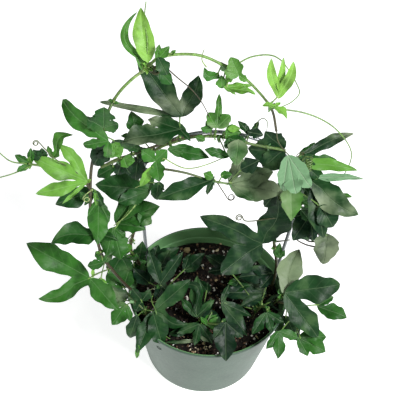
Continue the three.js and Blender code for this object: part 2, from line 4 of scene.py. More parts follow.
import bpy
import numpy as np
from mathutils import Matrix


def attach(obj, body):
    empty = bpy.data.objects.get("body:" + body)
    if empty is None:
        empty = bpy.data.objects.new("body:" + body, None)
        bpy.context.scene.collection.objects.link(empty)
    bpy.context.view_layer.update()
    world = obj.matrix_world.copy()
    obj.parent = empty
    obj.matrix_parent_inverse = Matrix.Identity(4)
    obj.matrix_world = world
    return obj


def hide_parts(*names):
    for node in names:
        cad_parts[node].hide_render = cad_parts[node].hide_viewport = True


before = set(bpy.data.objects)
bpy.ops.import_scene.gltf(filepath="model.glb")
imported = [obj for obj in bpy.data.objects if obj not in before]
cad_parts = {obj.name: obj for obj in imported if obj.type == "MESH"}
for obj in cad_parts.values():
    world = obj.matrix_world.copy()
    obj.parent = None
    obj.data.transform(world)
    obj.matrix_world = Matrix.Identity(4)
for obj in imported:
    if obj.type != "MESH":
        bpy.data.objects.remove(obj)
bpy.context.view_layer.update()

MM = 0.001
print("CAD nodes:", sorted(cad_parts))

# %% [markdown]
# # A passion flower vine in a nursery pot
#
# The plant is a young passion flower: thin stems wound over a wire hoop, lobed leaves on
# stalks, and curling tendrils. It grows in peat with perlite and bark, in a thin plastic pot.
# The imported model already has every stem, leaf and wall in its place, so each piece here takes
# the place of one CAD node and adds what a solid of a few thousand faces can't show: rounded
# lobes, veins, crumbs of soil, coils and colour. All sizes are written in millimetres, as in the
# model, and turned into metres when a mesh is made.

# %% [markdown]
# ## Camera
#
# A camera is a place, a direction and a lens. This one looks down at 49 degrees from 0.85 m
# away and leans 5.6 degrees to one side. Its three axes are worked out, because a tilt given as
# three Euler angles is hard to read back.

# %% Camera
LOOK_AT = np.array([-8.0, 0.0, 225.0])
LOOK_DOWN = math.radians(49.2)
LEAN = math.radians(5.6)
DISTANCE = 850.0
LENS = 81.2
SENSOR_WIDTH = 36


def unit(vectors):
    """Each vector divided by its own length."""
    vectors = np.asarray(vectors, float)
    return vectors / np.maximum(np.linalg.norm(vectors, axis=-1, keepdims=True), 1e-12)


def new_object(name, data):
    """An object that shows this data, linked to the scene."""
    made = bpy.data.objects.new(name, data)
    bpy.context.scene.collection.objects.link(made)
    return made


def matrix_of(x_axis, y_axis, z_axis, place):
    """The matrix of a thing with these three axes, at a place in metres."""
    matrix = np.eye(4)
    matrix[:3] = np.stack([x_axis, y_axis, z_axis, place], 1)
    return matrix.T.tolist()


def add_camera():
    """Axes: forward, then right and up turned about forward by the lean."""
    forward = np.array([0.0, math.cos(LOOK_DOWN), -math.sin(LOOK_DOWN)])
    level_right = np.array([1.0, 0.0, 0.0])
    level_up = np.cross(level_right, forward)
    right = level_right * math.cos(LEAN) + level_up * math.sin(LEAN)
    up = level_up * math.cos(LEAN) - level_right * math.sin(LEAN)
    data = bpy.data.cameras.new("camera")
    data.lens = LENS
    data.sensor_width = SENSOR_WIDTH
    camera = new_object("camera", data)
    camera.matrix_world = matrix_of(right, up, -forward, (LOOK_AT - DISTANCE * forward) * MM)
    bpy.context.scene.camera = camera
    return camera


camera = add_camera()
print("camera at", [round(x, 3) for x in camera.location])

# %% [markdown]
# ## Light and floor
#
# The plant stands on a plain white table under large soft lamps. Large lamps give soft shadows
# and the broad grey sheen that waxy leaves show. The table glows a little by itself, as paper
# does under studio lamps, so that the shadows on it stay faint.

# %% Light and floor
FLOOR_SIZE = 6.0
LAMP_TARGET = (0, 0, 0.2)
KEY_LAMP = {"place": (0.8, -0.75, 1.45), "size": 0.4, "power": 34}
FILL_LAMP = {"place": (-1.1, -0.9, 1.1), "size": 0.8, "power": 8}
SKY_COLOR = (0.93, 0.96, 1, 1)
SKY_STRENGTH = 0.07


def add_lamp(name, place, size, power):
    """A square lamp at a place, turned so that its -Z axis meets the lamps' target."""
    data = bpy.data.lights.new(name, "AREA")
    data.shape = "SQUARE"
    data.size = size
    data.energy = power
    back = unit(np.array(place, float) - np.array(LAMP_TARGET, float))
    side = unit(np.cross([0.0, 0.0, 1.0], back))
    lamp = new_object(name, data)
    lamp.matrix_world = matrix_of(side, np.cross(back, side), back, place)


def add_floor():
    """One square of four points at the height of the pot's foot."""
    half = FLOOR_SIZE / 2
    data = bpy.data.meshes.new("floor")
    corners = [(-half, -half, 0), (half, -half, 0), (half, half, 0), (-half, half, 0)]
    data.from_pydata(corners, [], [(0, 1, 2, 3)])
    floor = new_object("floor", data)
    return floor


floor = add_floor()
add_lamp("key", **KEY_LAMP)
add_lamp("fill", **FILL_LAMP)
world = bpy.data.worlds.new("studio")
bpy.context.scene.world = world
world.use_nodes = True
sky = world.node_tree.nodes["Background"].inputs
sky["Color"].default_value = SKY_COLOR
sky["Strength"].default_value = SKY_STRENGTH
bpy.context.scene.view_settings.view_transform = "Standard"

# %% [markdown]
# ## Shader maths as sums
#
# A pattern in a material is a chain of Math nodes, which is slow to read. The small class below
# wraps one socket, so `1 - mask` or `wave * 0.5` adds the Math node by itself. Everything else,
# such as noise, ramps and colour mixing, comes from one method that takes the node's type, its
# settings and its inputs.

# %% Shader maths


class Value:
    """A socket whose number takes part in sums: each operator adds one Math node."""

    def __init__(self, finish, socket):
        self.finish, self.socket = finish, socket

    def math(self, operation, *terms):
        settings = {"operation": operation}
        return self.finish.node("ShaderNodeMath", settings, dict(enumerate(terms)))

    def __add__(self, other):
        return self.math("ADD", self, other)

    def __radd__(self, other):
        return self.math("ADD", other, self)

    def __sub__(self, other):
        return self.math("SUBTRACT", self, other)

    def __rsub__(self, other):
        return self.math("SUBTRACT", other, self)

    def __mul__(self, other):
        return self.math("MULTIPLY", self, other)

    def __rmul__(self, other):
        return self.math("MULTIPLY", other, self)


class Finish:
    """A material while its nodes are added."""

    def __init__(self, name):
        self.material = bpy.data.materials.new(name)
        self.material.use_nodes = True
        self.tree = self.material.node_tree
        self.shader = self.tree.nodes["Principled BSDF"]

    def node(self, kind, settings=(), inputs=(), output=0):
        """Adds a node: its settings first, then its inputs, and gives back one output."""
        made = self.tree.nodes.new(kind)
        for name, value in dict(settings).items():
            if name == "stops":
                self.set_stops(made.color_ramp, value)
            else:
                setattr(made, name, value)
        for name, value in dict(inputs).items():
            self.feed(made.inputs[name], value)
        return Value(self, made.outputs[output])

    def feed(self, socket, value):
        """Links a Value to a socket, or sets a plain number or colour on it."""
        if isinstance(value, Value):
            self.tree.links.new(value.socket, socket)
        else:
            socket.default_value = value

    def set_stops(self, ramp, stops):
        """Gives a colour ramp its stops, each a place and a colour."""
        while len(ramp.elements) < len(stops):
            ramp.elements.new(0.5)
        for element, (place, color) in zip(ramp.elements, stops):
            element.position = place
            element.color = (*color, 1)

    def ramp(self, value, *stops):
        """A colour that changes with a number."""
        return self.node("ShaderNodeValToRGB", {"stops": stops}, {"Fac": value})

    def mix(self, share, first, second):
        """The first colour where share is 0, the second where it is 1."""
        first, second = [c if isinstance(c, Value) else (*c, 1) for c in (first, second)]
        inputs = {0: share, 6: first, 7: second}
        return self.node("ShaderNodeMix", {"data_type": "RGBA"}, inputs, output=2)

    def step(self, value, start, end):
        """0 below start, 1 above end, and a smooth rise between them."""
        inputs = {"Value": value, "From Min": start, "From Max": end}
        return self.node("ShaderNodeMapRange", {"interpolation_type": "SMOOTHSTEP"}, inputs)

    def place(self):
        """Where a point lies on the object, in metres."""
        return self.node("ShaderNodeTexCoord", output="Object")

    def own(self, name):
        """A number that the mesh carries."""
        return self.node("ShaderNodeAttribute", {"attribute_name": name}, output="Fac")

    def noise(self, scale, detail, roughness=0.5):
        """Soft noise from 0 to 1. A scale of 100 has one lump about every 10 mm."""
        inputs = {"Vector": self.place(), "Scale": scale, "Detail": detail}
        inputs["Roughness"] = roughness
        return self.node("ShaderNodeTexNoise", (), inputs)

    def bump(self, height, depth):
        """Feeds the normal from a height from 0 to 1, which stands for a depth in metres."""
        inputs = {"Height": height, "Distance": depth}
        normal = self.node("ShaderNodeBump", (), inputs)
        self.feed(self.shader.inputs["Normal"], normal)

    def set(self, inputs):
        """Puts values or links on the shader's own sockets."""
        for name, value in inputs.items():
            self.feed(self.shader.inputs[name], value)


# %% [markdown]
# ## Floor finish
#
# The first finish is the simplest: white, dull, and glowing a little, so that the table looks
# white all over without a lamp that would burn out the leaves.

# %% Floor finish
TABLE_WHITE = (0.8, 0.8, 0.8, 1)
TABLE_GLOW = 0.75

table_top = Finish("table_top")
table_top.set({"Base Color": TABLE_WHITE, "Roughness": 0.9})
table_top.set({"Emission Color": (1, 1, 1, 1), "Emission Strength": TABLE_GLOW})
floor.data.materials.append(table_top.material)
print("floor finish:", floor.data.materials[0].name)

# %% [markdown]
# ## From arrays to a mesh
#
# Every piece below is made of many small surfaces: lobes, tubes and grains. A `Pile` collects
# their points and triangles as arrays, together with the numbers that the material reads, such
# as a leaf's tone. At the end it merges points that lie in the same place, which closes the
# seams between lobes and the poles of tubes, and makes one mesh. The numbers are kept for each
# corner of a triangle, so two lobes that share a seam don't blend theirs.

# %% Piles of surfaces
SHARP = math.radians(50)
WELD = 1e-4
CUBIC_MM_PER_ML = 1000


def grid_triangles(rows, columns):
    """Two triangles for each cell of a grid of points, counted row by row."""
    corner = np.arange(rows - 1)[:, None] * columns + np.arange(columns - 1)
    a, b, c, d = corner, corner + 1, corner + columns + 1, corner + columns
    return np.stack([a, b, c, a, c, d], -1).reshape(-1, 3)


def print_measures(name, points, triangles):
    """
    Prints how many edges lack a neighbour that runs the other way, which is 0 for a closed skin,
    and the volume inside, which is over 0 where the faces point outwards. The volume is a sixth
    of the sum of a . (b x c) over the triangles a, b, c.
    """
    here, there = triangles.ravel(), np.roll(triangles, -1, 1).ravel()
    forth, back = here * len(points) + there, there * len(points) + here
    unmatched = np.count_nonzero(~np.isin(forth, back))
    a, b, c = (points[triangles[:, n]] for n in range(3))
    volume = np.einsum("ij,ij->i", a, np.cross(b, c)).sum() / 6 / CUBIC_MM_PER_ML
    print(f"{name}: {len(triangles)} triangles, {unmatched} unmatched edges, {volume:.2f} ml")


class Pile:
    """Points in millimetres, triangles, and numbers for the material."""

    def __init__(self):
        self.points, self.triangles, self.values = [], [], {}
        self.count = 0

    def add(self, points, triangles, **values):
        """Adds a surface. A value is one number, or a row with one for each point."""
        points = np.asarray(points, float).reshape(-1, 3)
        self.points.append(points)
        self.triangles.append(triangles + self.count)
        for name, value in values.items():
            spread = np.broadcast_to(np.asarray(value, float).ravel(), (len(points),))
            self.values.setdefault(name, []).append((self.count, spread))
        self.count += len(points)

    def weld(self):
        """
        Merges points that lie in the same place, and drops triangles that have become lines. It
        gives back the points, the triangles, and for each corner its number before the merge.
        """
        points = np.vstack(self.points)
        cells = np.round(points / WELD).astype(np.int64)
        _, first, welded = np.unique(cells, axis=0, return_index=True, return_inverse=True)
        source = np.vstack(self.triangles)
        merged = welded.ravel()[source]
        whole = (merged != np.roll(merged, 1, 1)).all(1)
        return points[first], merged[whole], source[whole]

    def add_values(self, mesh, source):
        """Writes each value on the mesh's corners. Where a surface gave none it is 0."""
        for name, spreads in self.values.items():
            every = np.zeros(self.count, np.float32)
            for start, spread in spreads:
                every[start : start + len(spread)] = spread
            attribute = mesh.attributes.new(name, "FLOAT", "CORNER")
            attribute.data.foreach_set("value", every[source.ravel()])

    def piece(self, name, material, slot, nodes=(), smooth=True):
        """Makes one object of the pile with its material, and hides the CAD nodes that it stands
        for.
        """
        points, merged, source = self.weld()
        mesh = bpy.data.meshes.new(name)
        mesh.vertices.add(len(points))
        mesh.vertices.foreach_set("co", (points * MM).astype(np.float32).ravel())
        mesh.loops.add(merged.size)
        mesh.loops.foreach_set("vertex_index", merged.astype(np.int32).ravel())
        mesh.polygons.add(len(merged))
        mesh.polygons.foreach_set("loop_start", np.arange(0, merged.size, 3, dtype=np.int32))
        mesh.materials.append(material)
        mesh.update(calc_edges=True)
        self.add_values(mesh, source)
        if smooth:
            mesh.polygons.foreach_set("use_smooth", np.ones(len(merged), bool))
            mesh.set_sharp_from_angle(angle=SHARP)
        made = new_object(name, mesh)
        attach(made, "root")
        if nodes:
            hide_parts(*nodes)
        print_measures(name, points, merged)


# %% [markdown]
# ## Lines and tubes
#
# Stems, stalks, tendrils and the wire are tubes along smooth lines. The line is a Catmull-Rom
# curve, which passes through each of its points, so a stem is drawn by naming the places that it
# passes. A tube is a circle carried along that line. Its radius may change on the way, which
# gives the taper of a stem and the swellings where leaves join it.

# %% Lines and tubes
ROUGH_STEP = 0.05


def line_through(points, at):
    """
    Places on a centripetal Catmull-Rom curve. "at" counts the curve's points, so 2.5 lies
    between the third and the fourth. Each span is a cubic: its ends are two of the points, and
    its end slopes come from their neighbours, weighed by the square roots of the distances.
    """
    points = np.asarray(points, float)
    at = np.clip(np.asarray(at, float), 0, len(points) - 1)
    before, after = 2 * points[0] - points[1], 2 * points[-1] - points[-2]
    longer = np.vstack([before, points, after])
    span = np.minimum(at.astype(int), len(points) - 2)
    t = (at - span)[:, None]
    a, b, c, d = (longer[span + k] for k in range(4))
    ab, bc, cd = (
        np.sqrt(np.linalg.norm(p - q, axis=1))[:, None] for p, q in ((a, b), (b, c), (c, d))
    )
    start = bc * ((b - a) / ab - (c - a) / (ab + bc) + (c - b) / bc)
    end = bc * ((c - b) / bc - (d - b) / (bc + cd) + (d - c) / cd)
    cubic = (2 * b - 2 * c + start + end) * t**3
    return cubic + (3 * c - 3 * b - 2 * start - end) * t**2 + start * t + b


def smooth_line(points, step):
    """A curve through the points as a row of places, evenly spaced about one step apart."""
    counts = np.arange(0, len(points) - 1, ROUGH_STEP)
    rough = line_through(points, np.append(counts, len(points) - 1))
    run = np.append(0, np.cumsum(np.linalg.norm(np.diff(rough, axis=0), axis=1)))
    places = np.linspace(0, run[-1], max(3, int(run[-1] / step) + 1))
    return np.stack([np.interp(places, run, rough[:, k]) for k in range(3)], 1)


def across_of(path):
    """The direction in which a path is flattest: the last axis of its spread."""
    return np.linalg.svd(path - path.mean(0), full_matrices=False)[2][-1]


def tube(path, radius, sides, flat=None):
    """
    Points of a closed tube, row by row: place + radius * (cos a * side + sin a * other), where
    side and other cross the path. The first and last rows shrink to the path's ends.
    """
    forward = unit(np.gradient(path, axis=0))
    flat = across_of(path) if flat is None else flat
    side = unit(np.cross(forward, flat))
    other = np.cross(forward, side)
    turn = np.linspace(0, 2 * np.pi, sides + 1)
    turn[-1] = 0
    radius = np.broadcast_to(radius, (len(path),))
    ring = np.cos(turn)[:, None] * side[:, None] + np.sin(turn)[:, None] * other[:, None]
    rows = path[:, None] + radius[:, None, None] * ring
    caps = [np.broadcast_to(path[k], (1, sides + 1, 3)) for k in (0, -1)]
    return np.concatenate([caps[0], rows, caps[1]])


def add_tube(pile, path, radius, sides, flat=None, **values):
    """A tube in a pile. A value may be one number or a row with one for each place."""
    rows = tube(path, radius, sides, flat)
    spread = {}
    for name, value in values.items():
        along = np.broadcast_to(np.asarray(value, float), (len(path),))
        spread[name] = np.repeat(np.pad(along, 1, "edge"), sides + 1)
    pile.add(rows, grid_triangles(len(rows), sides + 1), **spread)


# %% [markdown]
# ## Wire hoop
#
# The hoop is one length of plastic-coated wire, pushed into the soil at both ends. Its grey
# coating is smooth and catches a long highlight on top of the arch. It is one tube, with enough
# sides to be round and enough steps to be a true arch.

# %% Wire hoop
SOIL_TOP = 84
WIRE_RADIUS = 1.75
WIRE_SIDES = 16
WIRE_STEP = 2
HOOP_TOP = 291
HOOP_SHOULDER = 222
HOOP_HALF_WIDTH = 74
HOOP_MIDDLE = 2
HOOP_BACK = 32
ARCH_STEP = 15
LEFT_LEG, LEFT_BEND = (-63, 31), (-67, 32, 120)
RIGHT_LEG, RIGHT_BEND = (66, 25), (69, 29, 120)
LEG_CLEAR = 4
ROOT_DEPTH = 16
ROOT_LEAN = 0.94


def leg_points(foot, bend):
    """A leg from below: its end in the mix, a place just over the mix, and where it bends."""
    x, y = foot
    deep = (x * ROOT_LEAN, y * ROOT_LEAN, SOIL_TOP - ROOT_DEPTH)
    return [deep, (x, y, SOIL_TOP + LEG_CLEAR), bend]


def hoop_points():
    """Up one leg, over half an ellipse in even steps, and down the other leg."""
    turn = np.radians(np.arange(180, -1, -ARCH_STEP))
    arch_x = HOOP_MIDDLE + HOOP_HALF_WIDTH * np.cos(turn)
    arch_z = HOOP_SHOULDER + (HOOP_TOP - HOOP_SHOULDER) * np.sin(turn)
    arch = np.stack([arch_x, np.full(len(turn), HOOP_BACK), arch_z], 1)
    left, right = leg_points(LEFT_LEG, LEFT_BEND), leg_points(RIGHT_LEG, RIGHT_BEND)
    return np.vstack([left, arch, right[::-1]])


coating = Finish("wire_coating")
streaks = coating.noise(900, 3)
coating.set({"Base Color": coating.mix(streaks, (0.15, 0.17, 0.18), (0.31, 0.33, 0.35))})
coating.set({"Roughness": streaks * 0.15 + 0.12, "Specular IOR Level": 1.0})
hoop_pile = Pile()
hoop_line = smooth_line(hoop_points(), WIRE_STEP)
add_tube(hoop_pile, hoop_line, WIRE_RADIUS, WIRE_SIDES, flat=(0, 1, 0))
hoop_pile.piece("wire_hoop", coating.material, "coated_wire", ["hoop"])

# %% [markdown]
# ## Pot
#
# A nursery pot is one thin wall of blow-moulded plastic: a lip at the rim, a small ledge inside
# that stops stacked pots from jamming, and six drain holes in the foot. The wall is a profile
# turned about the axis. The floor is six equal sectors, each a grid that runs from a drain
# hole's edge out to the sector's border, so the holes are part of the mesh and nothing has to be
# cut.

# %% Pot
POT_HEIGHT = 102
POT_RIM_RADIUS = 80
POT_FOOT_RADIUS = 60
POT_WALL = 1.8
POT_FLOOR = 2.4
RIM_LIP = 1.4
RIM_LIP_HEIGHT = 3
FOOT_ROUNDING = 3
INNER_LEDGE_Z = 90
INNER_LEDGE = 0.7
CORNER_ROWS = 6
OUTSIDE_ROWS = 24
INSIDE_ROWS = 12
POT_SIDES = 144
DRAIN_HOLES = 6
DRAIN_HOLE_RADIUS = 5
DRAIN_RING_RADIUS = 44
FLOOR_BORDER = (30, 56)
DISC_ROWS = 6
SECTOR_RINGS = 5


def outer_radius(z):
    """Radius of the wall's outside at a height: a straight taper from foot to rim."""
    return POT_FOOT_RADIUS + (POT_RIM_RADIUS - RIM_LIP - POT_FOOT_RADIUS) * z / POT_HEIGHT


def inner_radius(z):
    """The outside less the wall, and a little wider above the ledge."""
    return outer_radius(z) - POT_WALL + INNER_LEDGE * (np.asarray(z) > INNER_LEDGE_Z)


def turned(profile, sides=POT_SIDES):
    """Points of a surface of revolution: (r cos a, r sin a, z) for each point of the profile."""
    profile = np.asarray(profile, float)
    turn = np.linspace(0, 2 * np.pi, sides + 1)
    turn[-1] = 0
    r, z = profile[:, :1], profile[:, 1:]
    return np.stack([r * np.cos(turn), r * np.sin(turn), z + 0 * turn], -1)


def rounded(start, corner, end):
    """A corner as a short curve: a quadratic blend of its three points."""
    t = np.linspace(0, 1, CORNER_ROWS)[:, None]
    start, corner, end = (np.array(p, float) for p in (start, corner, end))
    return (1 - t) ** 2 * start + 2 * t * (1 - t) * corner + t**2 * end


def pot_profile():
    """From the floor's border, round the foot, up the outside, over the lip and down inside."""
    top, lip = POT_HEIGHT, POT_HEIGHT - RIM_LIP_HEIGHT
    foot, rim = POT_FOOT_RADIUS, POT_RIM_RADIUS
    heights = np.linspace(FOOT_ROUNDING + 1, lip - 1, OUTSIDE_ROWS)
    outside = np.stack([outer_radius(heights), heights], 1)
    inner_top = inner_radius(POT_HEIGHT)
    ledge = INNER_LEDGE_Z
    below = np.linspace(ledge - 1.5, POT_FLOOR + 2, INSIDE_ROWS)
    inside = np.stack([inner_radius(below), below], 1)
    above, wall_edge = inner_radius(ledge + 1), outer_radius(lip)
    floor, floor_edge = POT_FLOOR, inner_radius(POT_FLOOR)
    return np.vstack(
        [
            [(FLOOR_BORDER[1], 0)],
            rounded((foot - FOOT_ROUNDING, 0), (foot, 0), (foot + 0.5, FOOT_ROUNDING)),
            outside,
            rounded((wall_edge, lip - 0.4), (wall_edge, lip), (rim - 0.3, lip + 0.4)),
            rounded((rim - 0.1, lip + 0.8), (rim, top), (rim - 0.8, top)),
            rounded((inner_top + 0.5, top), (inner_top, top), (inner_top, top - 1)),
            [(above, ledge + 1.2)],
            rounded((above, ledge + 0.6), (inner_radius(ledge), ledge), inside[0]),
            inside[1:],
            rounded((floor_edge, floor + 1), (floor_edge, floor), (floor_edge - 1, floor)),
            [(FLOOR_BORDER[1], POT_FLOOR)],
        ]
    )


def floor_sector(number):
    """
    A sector of the floor as rings from the drain hole's edge to the sector's border. The border
    is walked with the same number of steps on each of its four sides.
    """
    side = POT_SIDES // DRAIN_HOLES
    middle = 2 * np.pi * (number + 0.5) / DRAIN_HOLES
    half = np.pi / DRAIN_HOLES
    low, high = FLOOR_BORDER
    walk = np.linspace(-1, 1, side + 1)[:-1]
    radii = np.concatenate([0 * walk + 1, -walk, 0 * walk - 1, walk])
    angles = np.concatenate([walk, 0 * walk + 1, -walk, 0 * walk - 1])
    radius = (low + high) / 2 + radii * (high - low) / 2
    bearing = middle + half * angles
    border = np.stack([radius * np.cos(bearing), radius * np.sin(bearing)], 1)
    centre = DRAIN_RING_RADIUS * np.array([np.cos(middle), np.sin(middle)])
    edge = centre + DRAIN_HOLE_RADIUS * unit(border - centre)
    share = np.linspace(0, 1, SECTOR_RINGS)[:, None, None]
    rings = (1 - share) * edge + share * border
    return np.concatenate([rings, rings[:, :1]], 1)


def at_height(flat, z):
    """Flat points with a height."""
    return np.concatenate([flat, np.full((*flat.shape[:-1], 1), float(z))], -1)


def add_pot(pile):
    """The turned wall, then for each face of the floor its middle and its six sectors."""
    wall = turned(pot_profile())
    heights, radii = wall[:, 0, 2], np.hypot(wall[:, 0, 0], wall[:, 0, 1])
    outside = radii > inner_radius(heights) + POT_WALL / 2
    outside = np.repeat(outside.astype(float), POT_SIDES + 1)
    pile.add(wall, grid_triangles(len(wall), POT_SIDES + 1), outside=outside)
    middle = np.array([[r, 0] for r in np.linspace(0, FLOOR_BORDER[0], DISC_ROWS)])
    disc = grid_triangles(DISC_ROWS, POT_SIDES + 1)
    pile.add(turned(middle), disc, outside=0)
    pile.add(turned(middle + (0, POT_FLOOR)), disc[:, ::-1], outside=0)
    for number in range(DRAIN_HOLES):
        rings = floor_sector(number)
        faces = grid_triangles(*rings.shape[:2])
        pile.add(at_height(rings, 0), faces, outside=0)
        pile.add(at_height(rings, POT_FLOOR), faces[:, ::-1], outside=0)
        hole = np.stack([at_height(rings[0], 0), at_height(rings[0], POT_FLOOR)])
        pile.add(hole, grid_triangles(2, rings.shape[1])[:, ::-1], outside=0)


plastic = Finish("pot_plastic")
mottle = plastic.noise(35, 4, roughness=0.6)
speckle = plastic.noise(420, 2)
# Painted light: the shaded inside is painted far lighter than the lit outside, though one plastic.
outer = plastic.mix(mottle, (0.018, 0.047, 0.029), (0.073, 0.126, 0.088))
inner_painted_light = plastic.mix(mottle, (0.12, 0.29, 0.11), (0.19, 0.38, 0.165))
plastic.bump(mottle * 0.5 + speckle * 0.12, 0.0008)
wall_color = plastic.mix(plastic.own("outside"), inner_painted_light, outer)
# Painted shade: the hanger holes' oval faces are painted nearly black for their openings.
wall_color = plastic.mix(plastic.own("hole"), wall_color, (0.006, 0.010, 0.008))
plastic.set({"Base Color": wall_color})
plastic.set({"Roughness": speckle * 0.15 + 0.38})
pot_pile = Pile()
add_pot(pot_pile)
pot_pile.piece("nursery_pot", plastic.material, "pot_plastic", ["pot"])

# %% [markdown]
# ## Hanger holes
#
# Under the rim are three small oval hanger holes that take the hooks of a wire hanger. The wall
# is not cut: a moulded lip surrounds an oval face that is painted nearly black, as painted shade
# for the dark opening. The profile of one, from the back of its floor over the lip to its front,
# is turned round once, stretched to an oval, and laid on the slanting wall at three places.

# %% Hanger holes
HANGER_TURNS = np.radians([-124.7, -4.7, 115.3])
HANGER_HEIGHT = 79.7
HANGER_HALF_SIZE = (2.7, 1.9)
HANGER_SIDES = 32
HANGER_PROFILE = [
    (0, -0.5), (1.25, -0.5), (1.25, 0.05), (1.15, 0.4), (1.0, 0.45), (0.9, 0.35), (0.85, 0.1),
    (0.4, 0.1), (0, 0.1),
]
# Painted shade for each row of the profile: 1 where the oval face is painted nearly black.
HANGER_PAINTED_SHADE = [0, 0, 0, 0, 0, 0.3, 1, 1, 1]


def hanger_hole(turn):
    """The stretched profile in the wall's own directions: round the pot, up the wall, outwards."""
    slope = outer_radius(1.0) - outer_radius(0.0)
    out = unit(np.array([np.cos(turn), np.sin(turn), -slope]))
    aside_wall = np.array([-np.sin(turn), np.cos(turn), 0])
    up_wall = np.cross(out, aside_wall)
    radius = outer_radius(HANGER_HEIGHT)
    centre = np.array([radius * np.cos(turn), radius * np.sin(turn), HANGER_HEIGHT])
    shape = turned(HANGER_PROFILE, HANGER_SIDES) * (*HANGER_HALF_SIZE, 1)
    return centre + shape @ np.stack([aside_wall, up_wall, out])


hanger_pile = Pile()
faces = grid_triangles(len(HANGER_PROFILE), HANGER_SIDES + 1)
painted_hole_shade = np.repeat(HANGER_PAINTED_SHADE, HANGER_SIDES + 1)
for turn in HANGER_TURNS:
    hanger_pile.add(hanger_hole(turn), faces, outside=1, hole=painted_hole_shade)
hanger_pile.piece("hanger_holes", plastic.material, "pot_plastic")

# %% [markdown]
# ## Potting mix
#
# The mix is dark peat, pale chips of bark and white grains of perlite. The peat's near-black
# browns are partly its own colour and partly painted shade, for the shade of the leaves over it.
# Its top is a round grid whose height is the solid's slow waves plus finer lumps. The lumps are
# value noise: random heights on a square lattice with a smooth blend between them, made with numpy
# so that the mesh itself is rough and not just its shading.

# %% Potting mix
SOIL_WAVES = 1.6
SOIL_LUMPS = [(1.1, 5.1, 1), (0.7, 2.3, 2), (0.35, 1.1, 3)]
SOIL_GAP = 0.55
SOIL_RINGS = 110
SOIL_SIDE_ROWS = 12
SOIL_SIDES = 300
LATTICE = 64


def smooth(t):
    """0 below 0, 1 above 1, and 3t^2 - 2t^3 between them."""
    t = np.clip(t, 0, 1)
    return t * t * (3 - 2 * t)


def value_noise(x, y, size, seed):
    """Random lattice heights from -1 to 1, one every "size" mm, blended smoothly between."""
    lattice = np.random.default_rng(seed).uniform(-1, 1, (LATTICE, LATTICE))
    column, line = x / size + LATTICE / 2, y / size + LATTICE / 2
    i, j = np.floor(column).astype(int), np.floor(line).astype(int)
    s, t = smooth(column - i), smooth(line - j)
    a, b = lattice[i % LATTICE, j % LATTICE], lattice[(i + 1) % LATTICE, j % LATTICE]
    c, d = lattice[i % LATTICE, (j + 1) % LATTICE], lattice[(i + 1) % LATTICE, (j + 1) % LATTICE]
    return (a * (1 - s) + b * s) * (1 - t) + (c * (1 - s) + d * s) * t


def soil_height(x, y):
    """Slow waves as in the solid, and lumps of three sizes, all fading towards the pot's wall."""
    waves = np.sin(x / 7 + 1) * np.cos(y / 9) + 0.6 * np.sin((x + y) / 5)
    waves = waves + 0.4 * np.cos((x - 2 * y) / 11)
    lumps = sum(height * value_noise(x, y, size, seed) for height, size, seed in SOIL_LUMPS)
    fade = 1 - np.minimum(1, np.hypot(x, y) / inner_radius(SOIL_TOP)) ** 8
    return SOIL_TOP + (SOIL_WAVES * waves + lumps) * fade


def soil_surface():
    """The top as rings about the axis, then the side and the bottom of the filled pot."""
    edge = inner_radius(SOIL_TOP) - SOIL_GAP
    radius = np.linspace(0, edge, SOIL_RINGS)
    top = turned(np.stack([radius, 0 * radius], 1), SOIL_SIDES)
    top[..., 2] = soil_height(top[..., 0], top[..., 1])
    foot = POT_FLOOR + SOIL_GAP
    heights = np.linspace(SOIL_TOP - 2, foot, SOIL_SIDE_ROWS)
    side = turned(np.stack([inner_radius(heights) - SOIL_GAP, heights], 1), SOIL_SIDES)
    bottom = turned([[inner_radius(foot) * share, foot] for share in (0.66, 0.33, 0)], SOIL_SIDES)
    return np.concatenate([top, side, bottom])


peat = Finish("peat")
clod = peat.noise(260, 5, roughness=0.65)
fibre = peat.noise(900, 3)
# Near-black browns: partly the peat's own colour, partly painted shade from the leaves.
peat_color = peat.ramp(
    clod,
    (0.4, (0.002, 0.0015, 0.001)),
    (0.58, (0.007, 0.005, 0.003)),
    (0.75, (0.050, 0.030, 0.018)),
)
peat.set({"Base Color": peat.mix(fibre * 0.2, peat_color, (0.035, 0.024, 0.015))})
peat.set({"Roughness": fibre * 0.2 + 0.75, "Specular IOR Level": 0.3})
peat.bump(clod + fibre * 0.4, 0.0022)
soil_pile = Pile()
soil_rows = soil_surface()
soil_pile.add(soil_rows, grid_triangles(len(soil_rows), SOIL_SIDES + 1)[:, ::-1])
soil_pile.piece("potting_mix", peat.material, "potting_mix", ["soil"])

# %% [markdown]
# ## Perlite, bark and crumbs
#
# Hundreds of loose grains lie on the mix: crumbs of peat, white perlite, brown bark, and a few
# larger chips of pale and of orange wood. Each is an icosahedron of twenty faces, pulled out of
# round by random numbers, stretched, turned, and sunk a little in the surface. They are made all
# at once: one array holds every corner of every grain. A grain's own number, `shade`, picks its
# colour from a ramp, so one material does for a whole pile.

# %% Loose grains
SUNK = 0.2
WALL_CLEAR = 4
FLAT_GRAIN = 0.6
LYING_DOWN = 0.45
PUSH = (0.75, 1.2)


def icosahedron():
    """The twelve corners of an icosahedron, and its twenty faces, found as its closest triples."""
    golden = (1 + math.sqrt(5)) / 2
    corners = [(0, a, b * golden) for a in (-1, 1) for b in (-1, 1)]
    corners += [(b, 0, a) for _, a, b in corners] + [(a, b, 0) for _, a, b in corners]
    corners = np.array(corners)
    near = abs(np.linalg.norm(corners[:, None] - corners[None], axis=2) - 2) < 0.01
    i, j, k = np.nonzero(near[:, :, None] & near[:, None] & near[None])
    faces = np.stack([i, j, k], 1)[(i < j) & (j < k)]
    a, b, c = (corners[faces[:, n]] for n in range(3))
    inward = np.einsum("ij,ij->i", np.cross(b - a, c - a), a) < 0
    faces[inward] = faces[inward][:, ::-1]
    return unit(corners), faces


